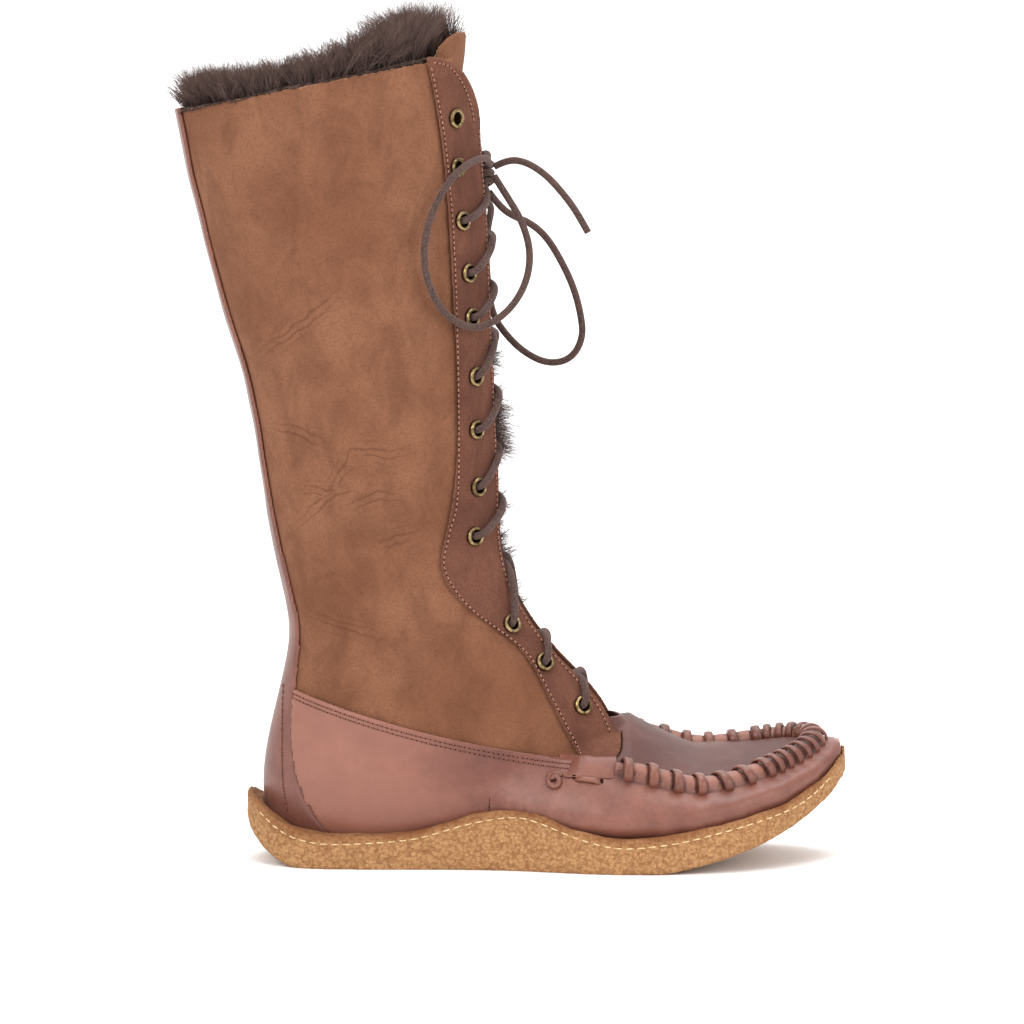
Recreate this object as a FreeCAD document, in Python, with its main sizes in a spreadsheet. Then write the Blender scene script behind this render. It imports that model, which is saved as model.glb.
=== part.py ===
import FreeCAD, Part
import Sketcher
import math
import os

# Tall lace-up moccasin boot, right foot.  Millimetres.
# +X points to the toe, +Y to the medial (inner) side, +Z up; the origin is on the ground under the
# middle of the boot's length and width.

V = FreeCAD.Vector
os.makedirs("parts", exist_ok=True)
doc = FreeCAD.newDocument("moccasin_boot")

# ---------------------------------------------------------------- driving dimensions
SIZES = [
    ("leather", 2.0),          # every leather and suede layer
    ("film", 0.2),             # clearance between glued or sewn layers
    ("wool_pile", 7.5),        # pile of the shearling, pressed
    ("tongue_pile", 5.0),
    ("shaft_top_back", 348.4),
    ("shaft_top_front", 373.0),
    ("flap_gap_half", 12.5),   # half the gap between the two lacing flaps
    ("panel_lap", 6.4),        # shaft panel under the eyestay
    ("wrap_lap", 14.0),        # shaft panel under the moccasin wrap
    ("eyelet_outer", 4.5),     # radii of the brass eyelets
    ("eyelet_barrel", 3.6),
    ("eyelet_bore", 3.1),
    ("eyelet_flange", 0.8),
    ("lace_diameter", 3.3),
    ("thong_diameter", 2.8),
    ("ridge_radius", 4.4),     # rolled seam between wrap and plug
    ("stitch_pitch", 11.4),
    ("stitch_sweep", 88.0),    # degrees that one whip stitch bends round the rolled seam
    ("knot_turn", 3.0),        # radius of the turns in the thong knots
    ("tongue_depth", 10.3),    # tongue below the outside of the shaft panels
    ("board", 2.2),
    ("footbed", 5.5),
]
sheet = doc.addObject("Spreadsheet::Sheet", "sizes")
for row, (alias, value) in enumerate(SIZES, start=1):
    sheet.set(f"A{row}", alias)
    sheet.set(f"B{row}", str(value))
    sheet.setAlias(f"B{row}", alias)
doc.recompute()


def size(alias):
    return float(sheet.get(alias))


LEATHER = size("leather")
FILM = size("film")
OVER = LEATHER + FILM          # outside of the layer that lies over the shaft panels
GAP = size("flap_gap_half")
LACE = size("lace_diameter")

# Leg: height, back, front, half width, widest point as a share of the depth.
LEG = [
    (9, -103, 40, 25, 0.42),
    (20, -111.5, 52, 31, 0.40),
    (35, -114, 56, 34, 0.40),
    (55, -112, 54, 35, 0.38),
    (75, -107.5, 44.5, 35, 0.38),
    (95, -103.2, 25.5, 35, 0.40),
    (115, -102.2, 9, 35.5, 0.43),
    (140, -107, -2.5, 37.5, 0.45),
    (170, -112.3, -5.5, 41, 0.45),
    (210, -119.8, -7.5, 45, 0.45),
    (260, -132.3, -10, 50, 0.45),
    (310, -145.3, -12.5, 54, 0.45),
    (350, -153.6, -15, 56, 0.45),
    (388, -159, -20, 57.5, 0.45),
]
# Foot: place along X, lowest, widest and highest level, lateral and medial half width, squareness,
# and how much higher the medial edge of the top is than its middle.
FOOT = [
    (-8, 13, 26, 46, 35, 31, 2.2, 0),
    (30, 11, 22, 60, 46, 40, 2.1, 5),
    (55, 11, 21, 62.5, 49, 43, 2.0, 13),
    (70, 11, 22, 53.5, 49, 43.5, 2.2, 11.5),
    (85, 12.5, 24, 46, 47, 42.5, 2.5, 9.5),
    (105, 17.5, 29, 45.5, 42, 40, 2.7, 8.5),
    (125, 25, 36, 48.5, 31, 35, 2.6, 7.5),
    (140, 33.5, 43, 51, 16, 27, 2.4, 4.5),
    (148, 40, 47, 52.5, 4, 20, 2.2, 1.5),
    (151.5, 44, 49, 52.5, -3, 14, 2.0, 0),
]
RING_POINTS = 20
LEAST = 1.5                    # least radius of a ring near the toe tip
FAR = 90.0                     # beyond either side of the boot


# ---------------------------------------------------------------- shape helpers
def ring(points):
    curve = Part.BSplineCurve()
    curve.interpolate(points, PeriodicFlag=True)
    return Part.Wire(curve.toShape())


def signed_power(value, power):
    return math.copysign(abs(value) ** power, value)


def leg_ring(station, grow, height):
    _, back, front, half_width, share = station
    middle = back + share * (front - back)
    points = []
    for step in range(RING_POINTS):
        angle = 2 * math.pi * step / RING_POINTS
        reach = (front - middle if math.cos(angle) > 0 else middle - back) + grow
        points.append(V(middle + reach * math.cos(angle), (half_width + grow) * math.sin(angle), height))
    return ring(points)


def foot_ring(station, grow):
    place, low, wide, high, lateral, medial, squareness, tilt = station
    toe_share = (place / FOOT[-1][0]) ** 4
    centre = (medial - lateral) / 2
    half = max((medial + lateral) / 2 + grow, LEAST)
    points = []
    for step in range(RING_POINTS):
        angle = 2 * math.pi * step / RING_POINTS
        reach = max((high - wide if math.sin(angle) > 0 else wide - low) + grow, LEAST)
        across = signed_power(math.cos(angle), 2 / squareness)
        up = signed_power(math.sin(angle), 2 / squareness)
        slope = tilt * reach / (high - wide) if up > 0 else 0
        points.append(V(
            place + grow * (toe_share - (place < 0)),
            centre + half * across,
            wide + (reach + slope * across) * up,
        ))
    return ring(points)


def leg_volume(grow):
    """The closed outer volume of the leg, moved outwards by grow."""
    heights = [station[0] for station in LEG]
    heights[0] -= grow
    heights[-1] += 8 - grow
    return Part.makeLoft([leg_ring(s, grow, z) for s, z in zip(LEG, heights)], True)


def boot_volume(grow):
    """The same for leg and foot together."""
    return leg_volume(grow).fuse(Part.makeLoft([foot_ring(s, grow) for s in FOOT], True, True))


def outline(runs, place):
    """A face from runs of points: two points make a line, more make a smooth curve."""
    edges = []
    for run in runs:
        points = [place(*point) for point in run]
        if len(points) == 2:
            edges.append(Part.LineSegment(*points).toShape())
        else:
            curve = Part.BSplineCurve()
            curve.interpolate(points)
            edges.append(curve.toShape())
    return Part.Face(Part.Wire(edges))


def side_prism(runs, start=-FAR, end=FAR):
    """Side-view outline (x, z) drawn out along Y."""
    return outline(runs, lambda x, z: V(x, start, z)).extrude(V(0, end - start, 0))


def plan_prism(runs, low, high):
    """Plan outline (x, y) drawn out along Z."""
    return outline(runs, lambda x, y: V(x, y, low)).extrude(V(0, 0, high - low))


def rear_prism(runs, start, end):
    """Rear-view outline (y, z) drawn out along X."""
    return outline(runs, lambda y, z: V(start, y, z)).extrude(V(end - start, 0, 0))


def box(low, high):
    return Part.makeBox(high[0] - low[0], high[1] - low[1], high[2] - low[2], V(*low))


def shifted(points, dx, dz):
    return [(x + dx, z + dz) for x, z in points]


def plain(name, shape):
    """A document object that holds a free-form shape."""
    part = doc.addObject("Part::Feature", name)
    part.Shape = shape
    part.Placement = FreeCAD.Placement()
    return part


def bound(kind, name, place=None, **expressions):
    """A parametric document object whose properties follow the size sheet."""
    part = doc.addObject(kind, name)
    for prop, expression in expressions.items():
        part.setExpression(prop, expression)
    if place:
        part.Placement = place
    return part


def joined(kind, name, prop, parts):
    """A fusion or a compound of document objects."""
    whole = doc.addObject(kind, name)
    setattr(whole, prop, parts)
    return whole


NODES = []


def node(label, part):
    """Names a document object as one sub-part of the boot."""
    part.Label = label
    NODES.append(part)


def feature(label, shape):
    node(label, plain(label, shape))


def facing(direction):
    """The turn that takes the Z axis to a direction."""
    return FreeCAD.Rotation(V(0, 0, 1), direction)


def hit(volume, start, end):
    """The first point of a volume on the way from start to end, with its outward normal."""
    inside = volume.common(Part.makeLine(start, end))
    point = min((v.Point for v in inside.Vertexes), key=lambda p: p.distanceToPoint(start))
    face = min(volume.Faces, key=lambda f: f.distToShape(Part.Vertex(point))[0])
    u, v = face.Surface.parameter(point)
    normal = face.normalAt(u, v)
    if normal.dot(end - start) > 0:
        normal = normal * -1
    return point, normal


# ---------------------------------------------------------------- layers
SIDES = [("lateral", -1), ("medial", 1)]
outside = boot_volume(OVER)
under_wrap = boot_volume(FILM)
skin_out = boot_volume(0)
skin_in = boot_volume(-LEATHER)
wool_out = boot_volume(-LEATHER - FILM)
wool_in = boot_volume(-LEATHER - FILM - size("wool_pile"))
tongue_out = leg_volume(-size("tongue_depth"))
tongue_in = leg_volume(-size("tongue_depth") - LEATHER)
tongue_wool_out = leg_volume(-size("tongue_depth") - LEATHER - FILM)
tongue_wool_in = leg_volume(-size("tongue_depth") - LEATHER - FILM - size("tongue_pile"))

over_layer = outside.cut(under_wrap)
skin_layer = skin_out.cut(skin_in)
wool_layer = wool_out.cut(wool_in)

# Seam lines in side view (x, z).
WRAP_TOP = [(-112, 85), (-72, 72.3), (-33, 61.5), (6, 53.3), (51, 48.6)]
EYESTAY_BACK = [(-39, 373), (-31.5, 330), (-27.3, 270), (-26.1, 180), (-30.3, 155), (-32.4, 139),
                (-21.1, 121), (4.2, 100), (15.7, 80.6), (30.4, 52.2)]
TOP_BACK = size("shaft_top_back")
TOP_FRONT = size("shaft_top_front")

# ---------------------------------------------------------------- back stay and moccasin wrap
STAY_EDGE = [(24, -5), (23.5, 36), (19, 65), (16, 84), (13.5, 120), (12.5, 220), (12.5, 400)]


def stay_prism(extra):
    edge = [(y + extra, z) for y, z in STAY_EDGE]
    other = [(-y, z) for y, z in reversed(edge)]
    low, high = STAY_EDGE[0][1], STAY_EDGE[-1][1]
    return rear_prism([edge, [edge[-1], other[0]], other, [other[-1], edge[0]]], -200, -72)


def below_shaft_top(extra):
    """Everything under the sloping top edge, raised by extra."""
    slope = (TOP_FRONT - TOP_BACK) / 117.8
    left, right = -175, 60
    top = [(x, TOP_BACK + extra + slope * (x + 155.2)) for x in (left, right)]
    return side_prism([top, [top[1], (right, -20)], [(right, -20), (left, -20)], [(left, -20), top[0]]])


back_stay = over_layer.common(stay_prism(0)).common(below_shaft_top(0.8))
feature("back_stay", back_stay)

wrap_region = side_prism([
    WRAP_TOP, [WRAP_TOP[-1], (51, 90)], [(51, 90), (175, 90)], [(175, 90), (175, -20)],
    [(175, -20), (-130, -20)], [(-130, -20), WRAP_TOP[0]],
])
PLUG_LATERAL = [(34, -34.5), (47, -36.5), (64, -36.8), (85, -34.5), (108, -26), (126, -13)]
PLUG_TOE = [(126, -13), (137, -1), (141, 10), (137, 20), (126, 26)]
PLUG_MEDIAL = [(126, 26), (108, 30), (85, 33), (64, 33.5), (47, 33), (34, 31)]
plug_path = PLUG_LATERAL + PLUG_TOE[1:] + PLUG_MEDIAL[1:]


def plug_prism(low, high):
    return plan_prism([plug_path, [plug_path[-1], plug_path[0]]], low, high)


ridge_points = [hit(outside, V(x, y, 95), V(x, y, 30))[0] for x, y in plug_path if x > 44]
ridge_curve = Part.BSplineCurve()
ridge_curve.interpolate(ridge_points)
ridge_edge = ridge_curve.toShape()


def ridge_tube(radius):
    start = ridge_edge.valueAt(ridge_edge.FirstParameter)
    along = ridge_edge.tangentAt(ridge_edge.FirstParameter)
    profile = Part.Wire(Part.Circle(start, along, radius).toShape())
    return Part.Wire(ridge_edge).makePipeShell([profile], True, True)


RIDGE = size("ridge_radius")
ridge = ridge_tube(RIDGE).cut(under_wrap)
wrap = over_layer.common(wrap_region).cut(stay_prism(0.3)).cut(plug_prism(34, 95))
wrap = wrap.fuse(ridge)


# ---------------------------------------------------------------- eyestays, facings and shaft panels
def eyestay_prism(side, extra):
    """Side-view outline of one lacing flap, grown at its lower end by extra."""
    back = shifted(EYESTAY_BACK, -extra, 0)
    foot_end = [back[-1], (40, 50.2 - extra), (47, 50.2 - extra)]
    lobe = [(47, 50.2 - extra), (49.8 + extra, 53), (50.6 + extra, 60), (50 + extra, 67)]
    top = [(-14.5, 343), (-18.6, 359), (-27, 370), back[0]]
    runs = [back, foot_end, lobe, [lobe[-1], (57, 74)], [(57, 74), top[0]], top]
    start, end = (-FAR, -GAP + extra) if side < 0 else (GAP - extra, FAR)
    return side_prism(runs, start, end)


EYELETS = [(31.6, 73.2), (13.9, 93.2), (-1.4, 111.4), (-18.6, 153.2), (-17.2, 176), (-18.1, 202.3),
           (-18.5, 226.7), (-20.3, 253.9), (-21.7, 274.4), (-24.4, 298.3), (-26.5, 322.6), (-27.4, 345)]
eyelet_axes = {}
for side_name, side in SIDES:
    eyelet_axes[side] = [hit(skin_out, V(x, side * FAR, z), V(x, 0, z)) for x, z in EYELETS]

panel_front = shifted(EYESTAY_BACK, size("panel_lap"), 0)


def panel_prism(start, end):
    """Side-view outline of a shaft panel: seam lap in front, sloping top, lap under the wrap."""
    low_edge = shifted(WRAP_TOP, 0, -size("wrap_lap"))[:-1]
    front = [(x, z) for x, z in panel_front if z < 370]
    front[-1] = (33, low_edge[-1][1])
    top_front = (front[0][0] - 1.5, TOP_FRONT)
    runs = [
        [(-175, TOP_BACK - 4), top_front], [top_front] + front, [front[-1], low_edge[-1]],
        list(reversed(low_edge)), [low_edge[0], (-175, low_edge[0][1])],
        [(-175, low_edge[0][1]), (-175, TOP_BACK - 4)],
    ]
    return side_prism(runs, start, end)


def facing_prism(side):
    """The part of a lacing flap in front of the shaft panel's edge."""
    front = shifted([(x, z) for x, z in panel_front if z < 370], 0.4, 0)
    start = (front[0][0] - 1.5, TOP_FRONT + 5)
    low_corner = (90, front[-1][1])
    high_corner = (90, start[1])
    runs = [[start] + front, [front[-1], low_corner], [low_corner, high_corner], [high_corner, start]]
    return side_prism(runs)


def eyelet_drills(side):
    radius = size("eyelet_barrel") + 0.15
    reach = 9.0
    drills = [Part.makeCylinder(radius, 2 * reach, p - n * reach, n) for p, n in eyelet_axes[side]]
    return Part.makeCompound(drills)


for side_name, side in SIDES:
    flap = eyestay_prism(side, 0)
    drills = eyelet_drills(side)
    feature("eyestay_" + side_name, over_layer.common(flap).cut(drills))
    feature("facing_lining_" + side_name, skin_layer.common(flap).common(facing_prism(side)).cut(drills))
    start, end = (-FAR, -FILM) if side < 0 else (FILM, FAR)
    feature("shaft_panel_" + side_name, skin_layer.common(panel_prism(start, end)).cut(drills))

flap_spaces = eyestay_prism(-1, 0.4).fuse(eyestay_prism(1, 0.4))
wrap = wrap.cut(flap_spaces)
feature("moccasin_wrap", max(wrap.Solids, key=lambda solid: solid.Volume))

plug = over_layer.common(plug_prism(34, 95)).cut(ridge_tube(RIDGE + FILM))
plug = plug.cut(flap_spaces).common(box((38, -FAR, 30), (175, FAR, 67.5)))
feature("toe_plug", max(plug.Solids, key=lambda solid: solid.Volume))


# ---------------------------------------------------------------- linings, stiffener, board and footbed
FLOOR_INSIDE = [(-125, 9.4), (-60, 9.4), (0, 10.6), (40, 11.3), (72, 11.3), (86, 13), (105, 18), (125, 25.6),
                (150, 41)]


def floor_band(low, high):
    """A sheet lying on the inside of the wrap, between two heights above it."""
    under = shifted(FLOOR_INSIDE, 0, low)
    over = shifted(FLOOR_INSIDE, 0, high)
    return side_prism([under, [under[-1], over[-1]], list(reversed(over)), [over[0], under[0]]])


BOARD = size("board")
BED = size("footbed")
feature("insole_board", skin_out.common(floor_band(FILM, FILM + BOARD)))
feature("shearling_footbed", wool_out.common(floor_band(2 * FILM + BOARD, 2 * FILM + BOARD + BED)))

LINING_TOP = shifted(WRAP_TOP, 0, 8)
lining_region = side_prism([
    LINING_TOP, [LINING_TOP[-1], (54, 90)], [(54, 90), (175, 90)], [(175, 90), (175, -20)],
    [(175, -20), (-130, -20)], [(-130, -20), LINING_TOP[0]],
])
lining = wool_layer.common(lining_region).cut(floor_band(-30, 3 * FILM + BOARD + BED))
HALVES = {"lateral": (-FAR, -FILM / 2), "medial": (FILM / 2, FAR)}
for side_name, (start, end) in HALVES.items():
    feature("foot_lining_" + side_name, lining.common(box((-200, start, -20), (200, end, 120))))

stiffener_region = side_prism([
    [(-130, 17), (-62, 17)], [(-62, 17), (-66, 40), (-80, 52)],
    [(-80, 52), (-130, 55)], [(-130, 55), (-130, 17)],
])
feature("heel_stiffener", skin_layer.common(stiffener_region))


def wool_prism(start, end):
    """Shearling pile behind one shaft panel, standing above its top edge."""
    low_edge = shifted(LINING_TOP, 0, 2.5)[:-1]
    front = shifted([(x, z) for x, z in EYESTAY_BACK if 75 < z < 370], -3.0, 0)
    front = [(front[0][0] - 3.5, 388)] + front + [(9, low_edge[-1][1])]
    runs = [
        [(-175, 366), (-90, 381), front[0]], front, list(reversed(low_edge + [(9, low_edge[-1][1])])),
        [low_edge[0], (-175, low_edge[0][1])], [(-175, low_edge[0][1]), (-175, 366)],
    ]
    return side_prism(runs, start, end)


for side_name, (start, end) in HALVES.items():
    feature("wool_lining_" + side_name, wool_layer.common(wool_prism(start, end)))

# ---------------------------------------------------------------- tongue
TONGUE_EDGE = [(17, 69), (18, 160), (24, 260), (27, 372)]
TONGUE_TOP = [(27, 372), (22, 381), (0, 384.5), (-22, 381), (-27, 372)]


def tongue_prism(narrow, lower):
    edge = [(y - narrow, z) for y, z in TONGUE_EDGE]
    top = [(y - math.copysign(narrow, y) * (abs(y) > 20), z - lower) for y, z in TONGUE_TOP]
    edge[-1] = top[0]
    other = [(-y, z) for y, z in reversed(edge)]
    return rear_prism([edge, top, other, [other[-1], edge[0]]], -60, 80)


feature("tongue", tongue_out.cut(tongue_in).common(tongue_prism(0, 0)))
feature("tongue_wool", tongue_wool_out.cut(tongue_wool_in).common(tongue_prism(3, 4)))

# ---------------------------------------------------------------- crepe sole
SOLE_LATERAL = [(-123.5, 0), (-117, -20), (-100, -33.5), (-70, -38.5), (-30, -39), (5, -43.5), (35, -52),
                (58, -55), (88, -52), (108, -46), (127, -35), (143, -19), (153, -4), (156, 8)]
SOLE_MEDIAL = [(156, 8), (152.5, 22), (141, 33), (124, 41.5), (100, 46.5), (65, 49), (30, 45.5), (-5, 38),
               (-35, 36.5), (-70, 38), (-100, 33.5), (-117, 20), (-123.5, 0)]
SOLE_FEATHER = [(-126, 37), (-115, 26.5), (-104, 19), (-90, 15.6), (-72, 15.6), (-45, 18), (-20, 25),
                (0, 28.5), (12, 26.5), (30, 20), (48, 16), (68, 17.2), (88, 20.8), (125, 30), (140, 37),
                (149, 44.5), (158, 54)]
SOLE_UNDER_HEEL = [(-126, 30), (-119, 12), (-108, 2.6), (-96, -1)]
SOLE_UNDER_TOE = [(60, -1), (83, 2.6), (101, 7.4), (120, 14.4), (139, 24.6), (158, 42)]
sole_curve = Part.BSplineCurve()
sole_curve.interpolate([V(x, y, 0) for x, y in (SOLE_LATERAL + SOLE_MEDIAL[1:-1])], PeriodicFlag=True)
sole_block = Part.Face(Part.Wire(sole_curve.toShape())).extrude(V(0, 0, 70))
sole_band = side_prism([
    SOLE_FEATHER, [SOLE_FEATHER[-1], SOLE_UNDER_TOE[-1]], list(reversed(SOLE_UNDER_TOE)),
    [SOLE_UNDER_TOE[0], SOLE_UNDER_HEEL[-1]], list(reversed(SOLE_UNDER_HEEL)),
    [SOLE_UNDER_HEEL[0], SOLE_FEATHER[0]],
])
crepe = sole_block.common(sole_band).cut(boot_volume(OVER + FILM))
crepe = max(crepe.Solids, key=lambda solid: solid.Volume)
feature("crepe_outsole", crepe)


# ---------------------------------------------------------------- brass eyelets
BORE, BARREL, FLANGE_OUT = size("eyelet_bore"), size("eyelet_barrel"), size("eyelet_outer")
THICK = size("eyelet_flange")
GRIP = 2 * LEATHER + FILM + 0.6    # between the outer flange and the rolled inner lip
EYELET_TOP = 2 * THICK + GRIP
EYELET_SECTION = [
    (BORE, 0), (FLANGE_OUT - 0.4, 0), (FLANGE_OUT - 0.4, THICK), (BARREL, THICK),
    (BARREL, THICK + GRIP), (FLANGE_OUT, THICK + GRIP), (FLANGE_OUT, EYELET_TOP), (BORE, EYELET_TOP),
]
GRIP_CELLS = "2 * sizes.leather + sizes.film + 0.6"
EYELET_DIMENSIONS = [
    ("DistanceX", 7, "sizes.eyelet_bore"),
    ("DistanceX", 1, "sizes.eyelet_outer - 0.4"),
    ("DistanceX", 3, "sizes.eyelet_barrel"),
    ("DistanceX", 5, "sizes.eyelet_outer"),
    ("DistanceY", 2, "sizes.eyelet_flange"),
    ("DistanceY", 4, "sizes.eyelet_flange + " + GRIP_CELLS),
    ("DistanceY", 6, "2 * sizes.eyelet_flange + " + GRIP_CELLS),
]
eyelet_body = doc.addObject("PartDesign::Body", "eyelet_master")
section = eyelet_body.newObject("Sketcher::SketchObject", "eyelet_section")
upright = [f for f in eyelet_body.Origin.OriginFeatures if f.Name.startswith("XZ_Plane")]
section.AttachmentSupport = [(upright[0], "")]
section.MapMode = "FlatFace"
for (x, y), (next_x, next_y) in zip(EYELET_SECTION, EYELET_SECTION[1:] + EYELET_SECTION[:1]):
    section.addGeometry(Part.LineSegment(V(x, y, 0), V(next_x, next_y, 0)))
for line in range(len(EYELET_SECTION)):
    section.addConstraint(Sketcher.Constraint("Coincident", line, 2, (line + 1) % len(EYELET_SECTION), 1))
    section.addConstraint(Sketcher.Constraint("Vertical" if line % 2 else "Horizontal", line))
section.addConstraint(Sketcher.Constraint("PointOnObject", 0, 1, -1))
for kind, line, expression in EYELET_DIMENSIONS:
    value = EYELET_SECTION[line][0 if kind == "DistanceX" else 1]
    index = section.addConstraint(Sketcher.Constraint(kind, -1, 1, line, 1, value))
    section.setExpression(f"Constraints[{index}]", expression)
turned = eyelet_body.newObject("PartDesign::Revolution", "eyelet_turned")
turned.Profile = section
turned.ReferenceAxis = (section, ["V_Axis"])
turned.Angle = 360
doc.recompute()

for side_name, side in SIDES:
    copies = []
    for point, normal in eyelet_axes[side]:
        copy = doc.addObject("App::Link", "eyelet_" + side_name)
        copy.LinkedObject = eyelet_body
        copy.Placement = FreeCAD.Placement(point - normal * (LEATHER + 0.3 + THICK), facing(normal))
        copies.append(copy)
    node("eyelets_" + side_name, joined("Part::Compound", "eyelets_" + side_name, "Links", copies))


# ---------------------------------------------------------------- whip stitches and thong knots
THONG = size("thong_diameter") / 2
stitches = []
travelled = size("stitch_pitch") / 2
while travelled < ridge_edge.Length - 3:
    parameter = ridge_edge.getParameterByLength(travelled)
    centre = ridge_edge.valueAt(parameter)
    along = ridge_edge.tangentAt(parameter)
    up = (V(0, 0, 1) - along * along.z).normalize()
    first = FreeCAD.Rotation(along, -size("stitch_sweep") / 2).multVec(up)
    turn = FreeCAD.Rotation(first, along.cross(first), along, "ZXY")
    stitches.append(bound(
        "Part::Torus", "whip_stitch", FreeCAD.Placement(centre, turn),
        Radius1="sizes.ridge_radius + sizes.film + sizes.thong_diameter / 2",
        Radius2="sizes.thong_diameter / 2", Angle3="sizes.stitch_sweep",
    ))
    round_toe = centre.x > 116
    travelled += size("stitch_pitch") * (0.52 if round_toe else 1.0)
node("whip_stitch_thong", joined("Part::Compound", "whip_stitch_thong", "Links", stitches))


def thong_knot(side_name, side):
    """Button knot that ends the thong, with the one running stitch before it."""
    point, normal = hit(outside, V(19.8, side * FAR, 41.1), V(19.8, 0, 41.1))
    turn = bound(
        "Part::Torus", "knot_turns", FreeCAD.Placement(point + normal * (THONG + FILM), facing(normal)),
        Radius1="sizes.knot_turn", Radius2="sizes.thong_diameter / 2",
    )
    core = bound(
        "Part::Cylinder", "knot_core", FreeCAD.Placement(point + normal * FILM, facing(normal)),
        Radius="sizes.thong_diameter * 0.65", Height="sizes.thong_diameter",
    )
    button = joined("Part::MultiFuse", "button_knot", "Shapes", [turn, core])
    start, start_normal = hit(outside, V(29.4, side * FAR, 42), V(29.4, 0, 42))
    end, end_normal = hit(outside, V(40.5, side * FAR, 41), V(40.5, 0, 41))
    first = start + start_normal * (THONG + 2 * FILM)
    last = end + end_normal * (THONG + 2 * FILM)
    stitch = bound(
        "Part::Cylinder", "running_stitch", FreeCAD.Placement(first, facing(last - first)),
        Radius="sizes.thong_diameter / 2",
    )
    stitch.Height = (last - first).Length
    return joined("Part::Compound", "thong_knot_" + side_name, "Links", [button, stitch])


for side_name, side in SIDES:
    node("thong_knot_" + side_name, thong_knot(side_name, side))


# ---------------------------------------------------------------- lace
def rounded_route(points, share=0.45):
    """Straight runs joined by tangent arcs, each as large as its two runs allow."""
    edges = []
    radii = []
    start = points[0]
    for before, corner, after in zip(points, points[1:], points[2:]):
        arrive = corner - before
        leave = after - corner
        turn = arrive.getAngle(leave)
        shorter = min(arrive.Length, leave.Length)
        radius = share * shorter / math.tan(turn / 2)
        radii.append(radius)
        cut = share * shorter
        first = corner - arrive.normalize() * cut
        last = corner + leave.normalize() * cut
        bisector = (last - corner) + (first - corner)
        bisector.normalize()
        middle = corner + bisector * (radius / math.cos(turn / 2) - radius)
        if (first - start).Length > 1e-6:
            edges.append(Part.LineSegment(start, first).toShape())
        edges.append(Part.Arc(first, middle, last).toShape())
        start = last
    edges.append(Part.LineSegment(start, points[-1]).toShape())
    return Part.Wire(edges), radii


def cord(label, points):
    """A lace tube along its route, with its length and bends printed."""
    route, radii = rounded_route(points)
    spine = plain(label + "_route", route)
    start = FreeCAD.Placement(points[0], facing(points[1] - points[0]))
    profile = bound("Part::Circle", label + "_profile", start, Radius="sizes.lace_diameter / 2")
    tube = doc.addObject("Part::Sweep", label)
    tube.Sections = [profile]
    tube.Spine = (spine, [f"Edge{index + 1}" for index in range(len(route.Edges))])
    tube.Solid = True
    tube.Frenet = True
    doc.recompute()
    length = route.Length
    share = tube.Shape.Volume / (math.pi * LACE ** 2 / 4 * length)
    print(f"{label}: length {length:.1f}, least radius {min(radii):.1f}, volume share {share:.3f}")
    node(label, tube)


OUTER_RUN = OVER + LACE / 2    # a strand lying on the outside of a flap, from the shaft panel's surface
INNER_RUN = LEATHER + LACE / 2
LACED = 10                     # the two highest pairs of eyelets stay empty


def front_point(y, z, rise):
    point, normal = hit(skin_out, V(120, y, z), V(-60, y, z))
    return point + normal * rise


def crossing(side, step, over):
    """Waypoints from the outside of one eyelet to the inside of the next one on the other flap."""
    here, here_normal = eyelet_axes[side][step]
    there, there_normal = eyelet_axes[-side][step + 1]
    climb = there.z - here.z
    middle_rise = -1.0 + over * (LACE / 2 + 0.35)
    points = [here + here_normal * (OUTER_RUN + 3.4)]
    if abs(here.y) > GAP + 13:
        points.append(front_point(side * (abs(here.y) + GAP) / 2, here.z + 0.30 * climb, OUTER_RUN + 1.9))
    points.append(front_point(side * GAP, here.z + 0.58 * climb, OUTER_RUN + 1.3))
    points.append(front_point(0, here.z + 0.73 * climb, middle_rise))
    points.append(front_point(-side * (GAP - 1.5), here.z + 0.82 * climb, -INNER_RUN - 1.0))
    points.append(there - there_normal * (INNER_RUN + 2.0))
    return points


def laced_half(side, over):
    """From the inside of the lowest eyelet up to the outside of the highest laced one."""
    first, normal = eyelet_axes[side][0]
    points = [first - normal * (INNER_RUN + 2.0)]
    for step in range(LACED - 1):
        points += crossing(side, step, over)
        side = -side
    last, normal = eyelet_axes[side][LACED - 1]
    points.append(last + normal * (OUTER_RUN + 3.4))
    return points, side


KNOT = front_point(-4, 318.5, 0.6)
first_half, first_side = laced_half(1, 1)
second_half, second_side = laced_half(-1, -1)
bar = [
    front_point(9, 73, -INNER_RUN - 1.6),
    front_point(0, 72, -INNER_RUN - 0.6),
    front_point(-9, 73, -INNER_RUN - 1.6),
]


def to_knot(side):
    return [front_point(side * (GAP + 1), 307, OUTER_RUN + 1.4), KNOT + V(-0.5, side * 6.2, -5)]


down_to_bar = list(reversed(first_half + to_knot(first_side)))
cord("laced_strands", down_to_bar + bar + second_half + to_knot(second_side))

heart = bound(
    "Part::Cylinder", "knot_heart", FreeCAD.Placement(KNOT - V(0, 0, 6.3), FreeCAD.Rotation()),
    Radius="sizes.lace_diameter * 0.6", Height="sizes.lace_diameter * 3",
)
upper_turn = bound(
    "Part::Torus", "knot_upper_turn", FreeCAD.Placement(KNOT + V(0, 0, 2.1), facing(V(0.3, 0, 1))),
    Radius1="sizes.lace_diameter * 0.79", Radius2="sizes.lace_diameter / 2",
)
lower_turn = bound(
    "Part::Torus", "knot_lower_turn", FreeCAD.Placement(KNOT + V(0, 0, -5.2), facing(V(-0.3, 0.2, 1))),
    Radius1="sizes.lace_diameter * 0.79", Radius2="sizes.lace_diameter / 2",
)
node("bow_knot", joined("Part::MultiFuse", "bow_knot", "Shapes", [heart, upper_turn, lower_turn]))

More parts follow.
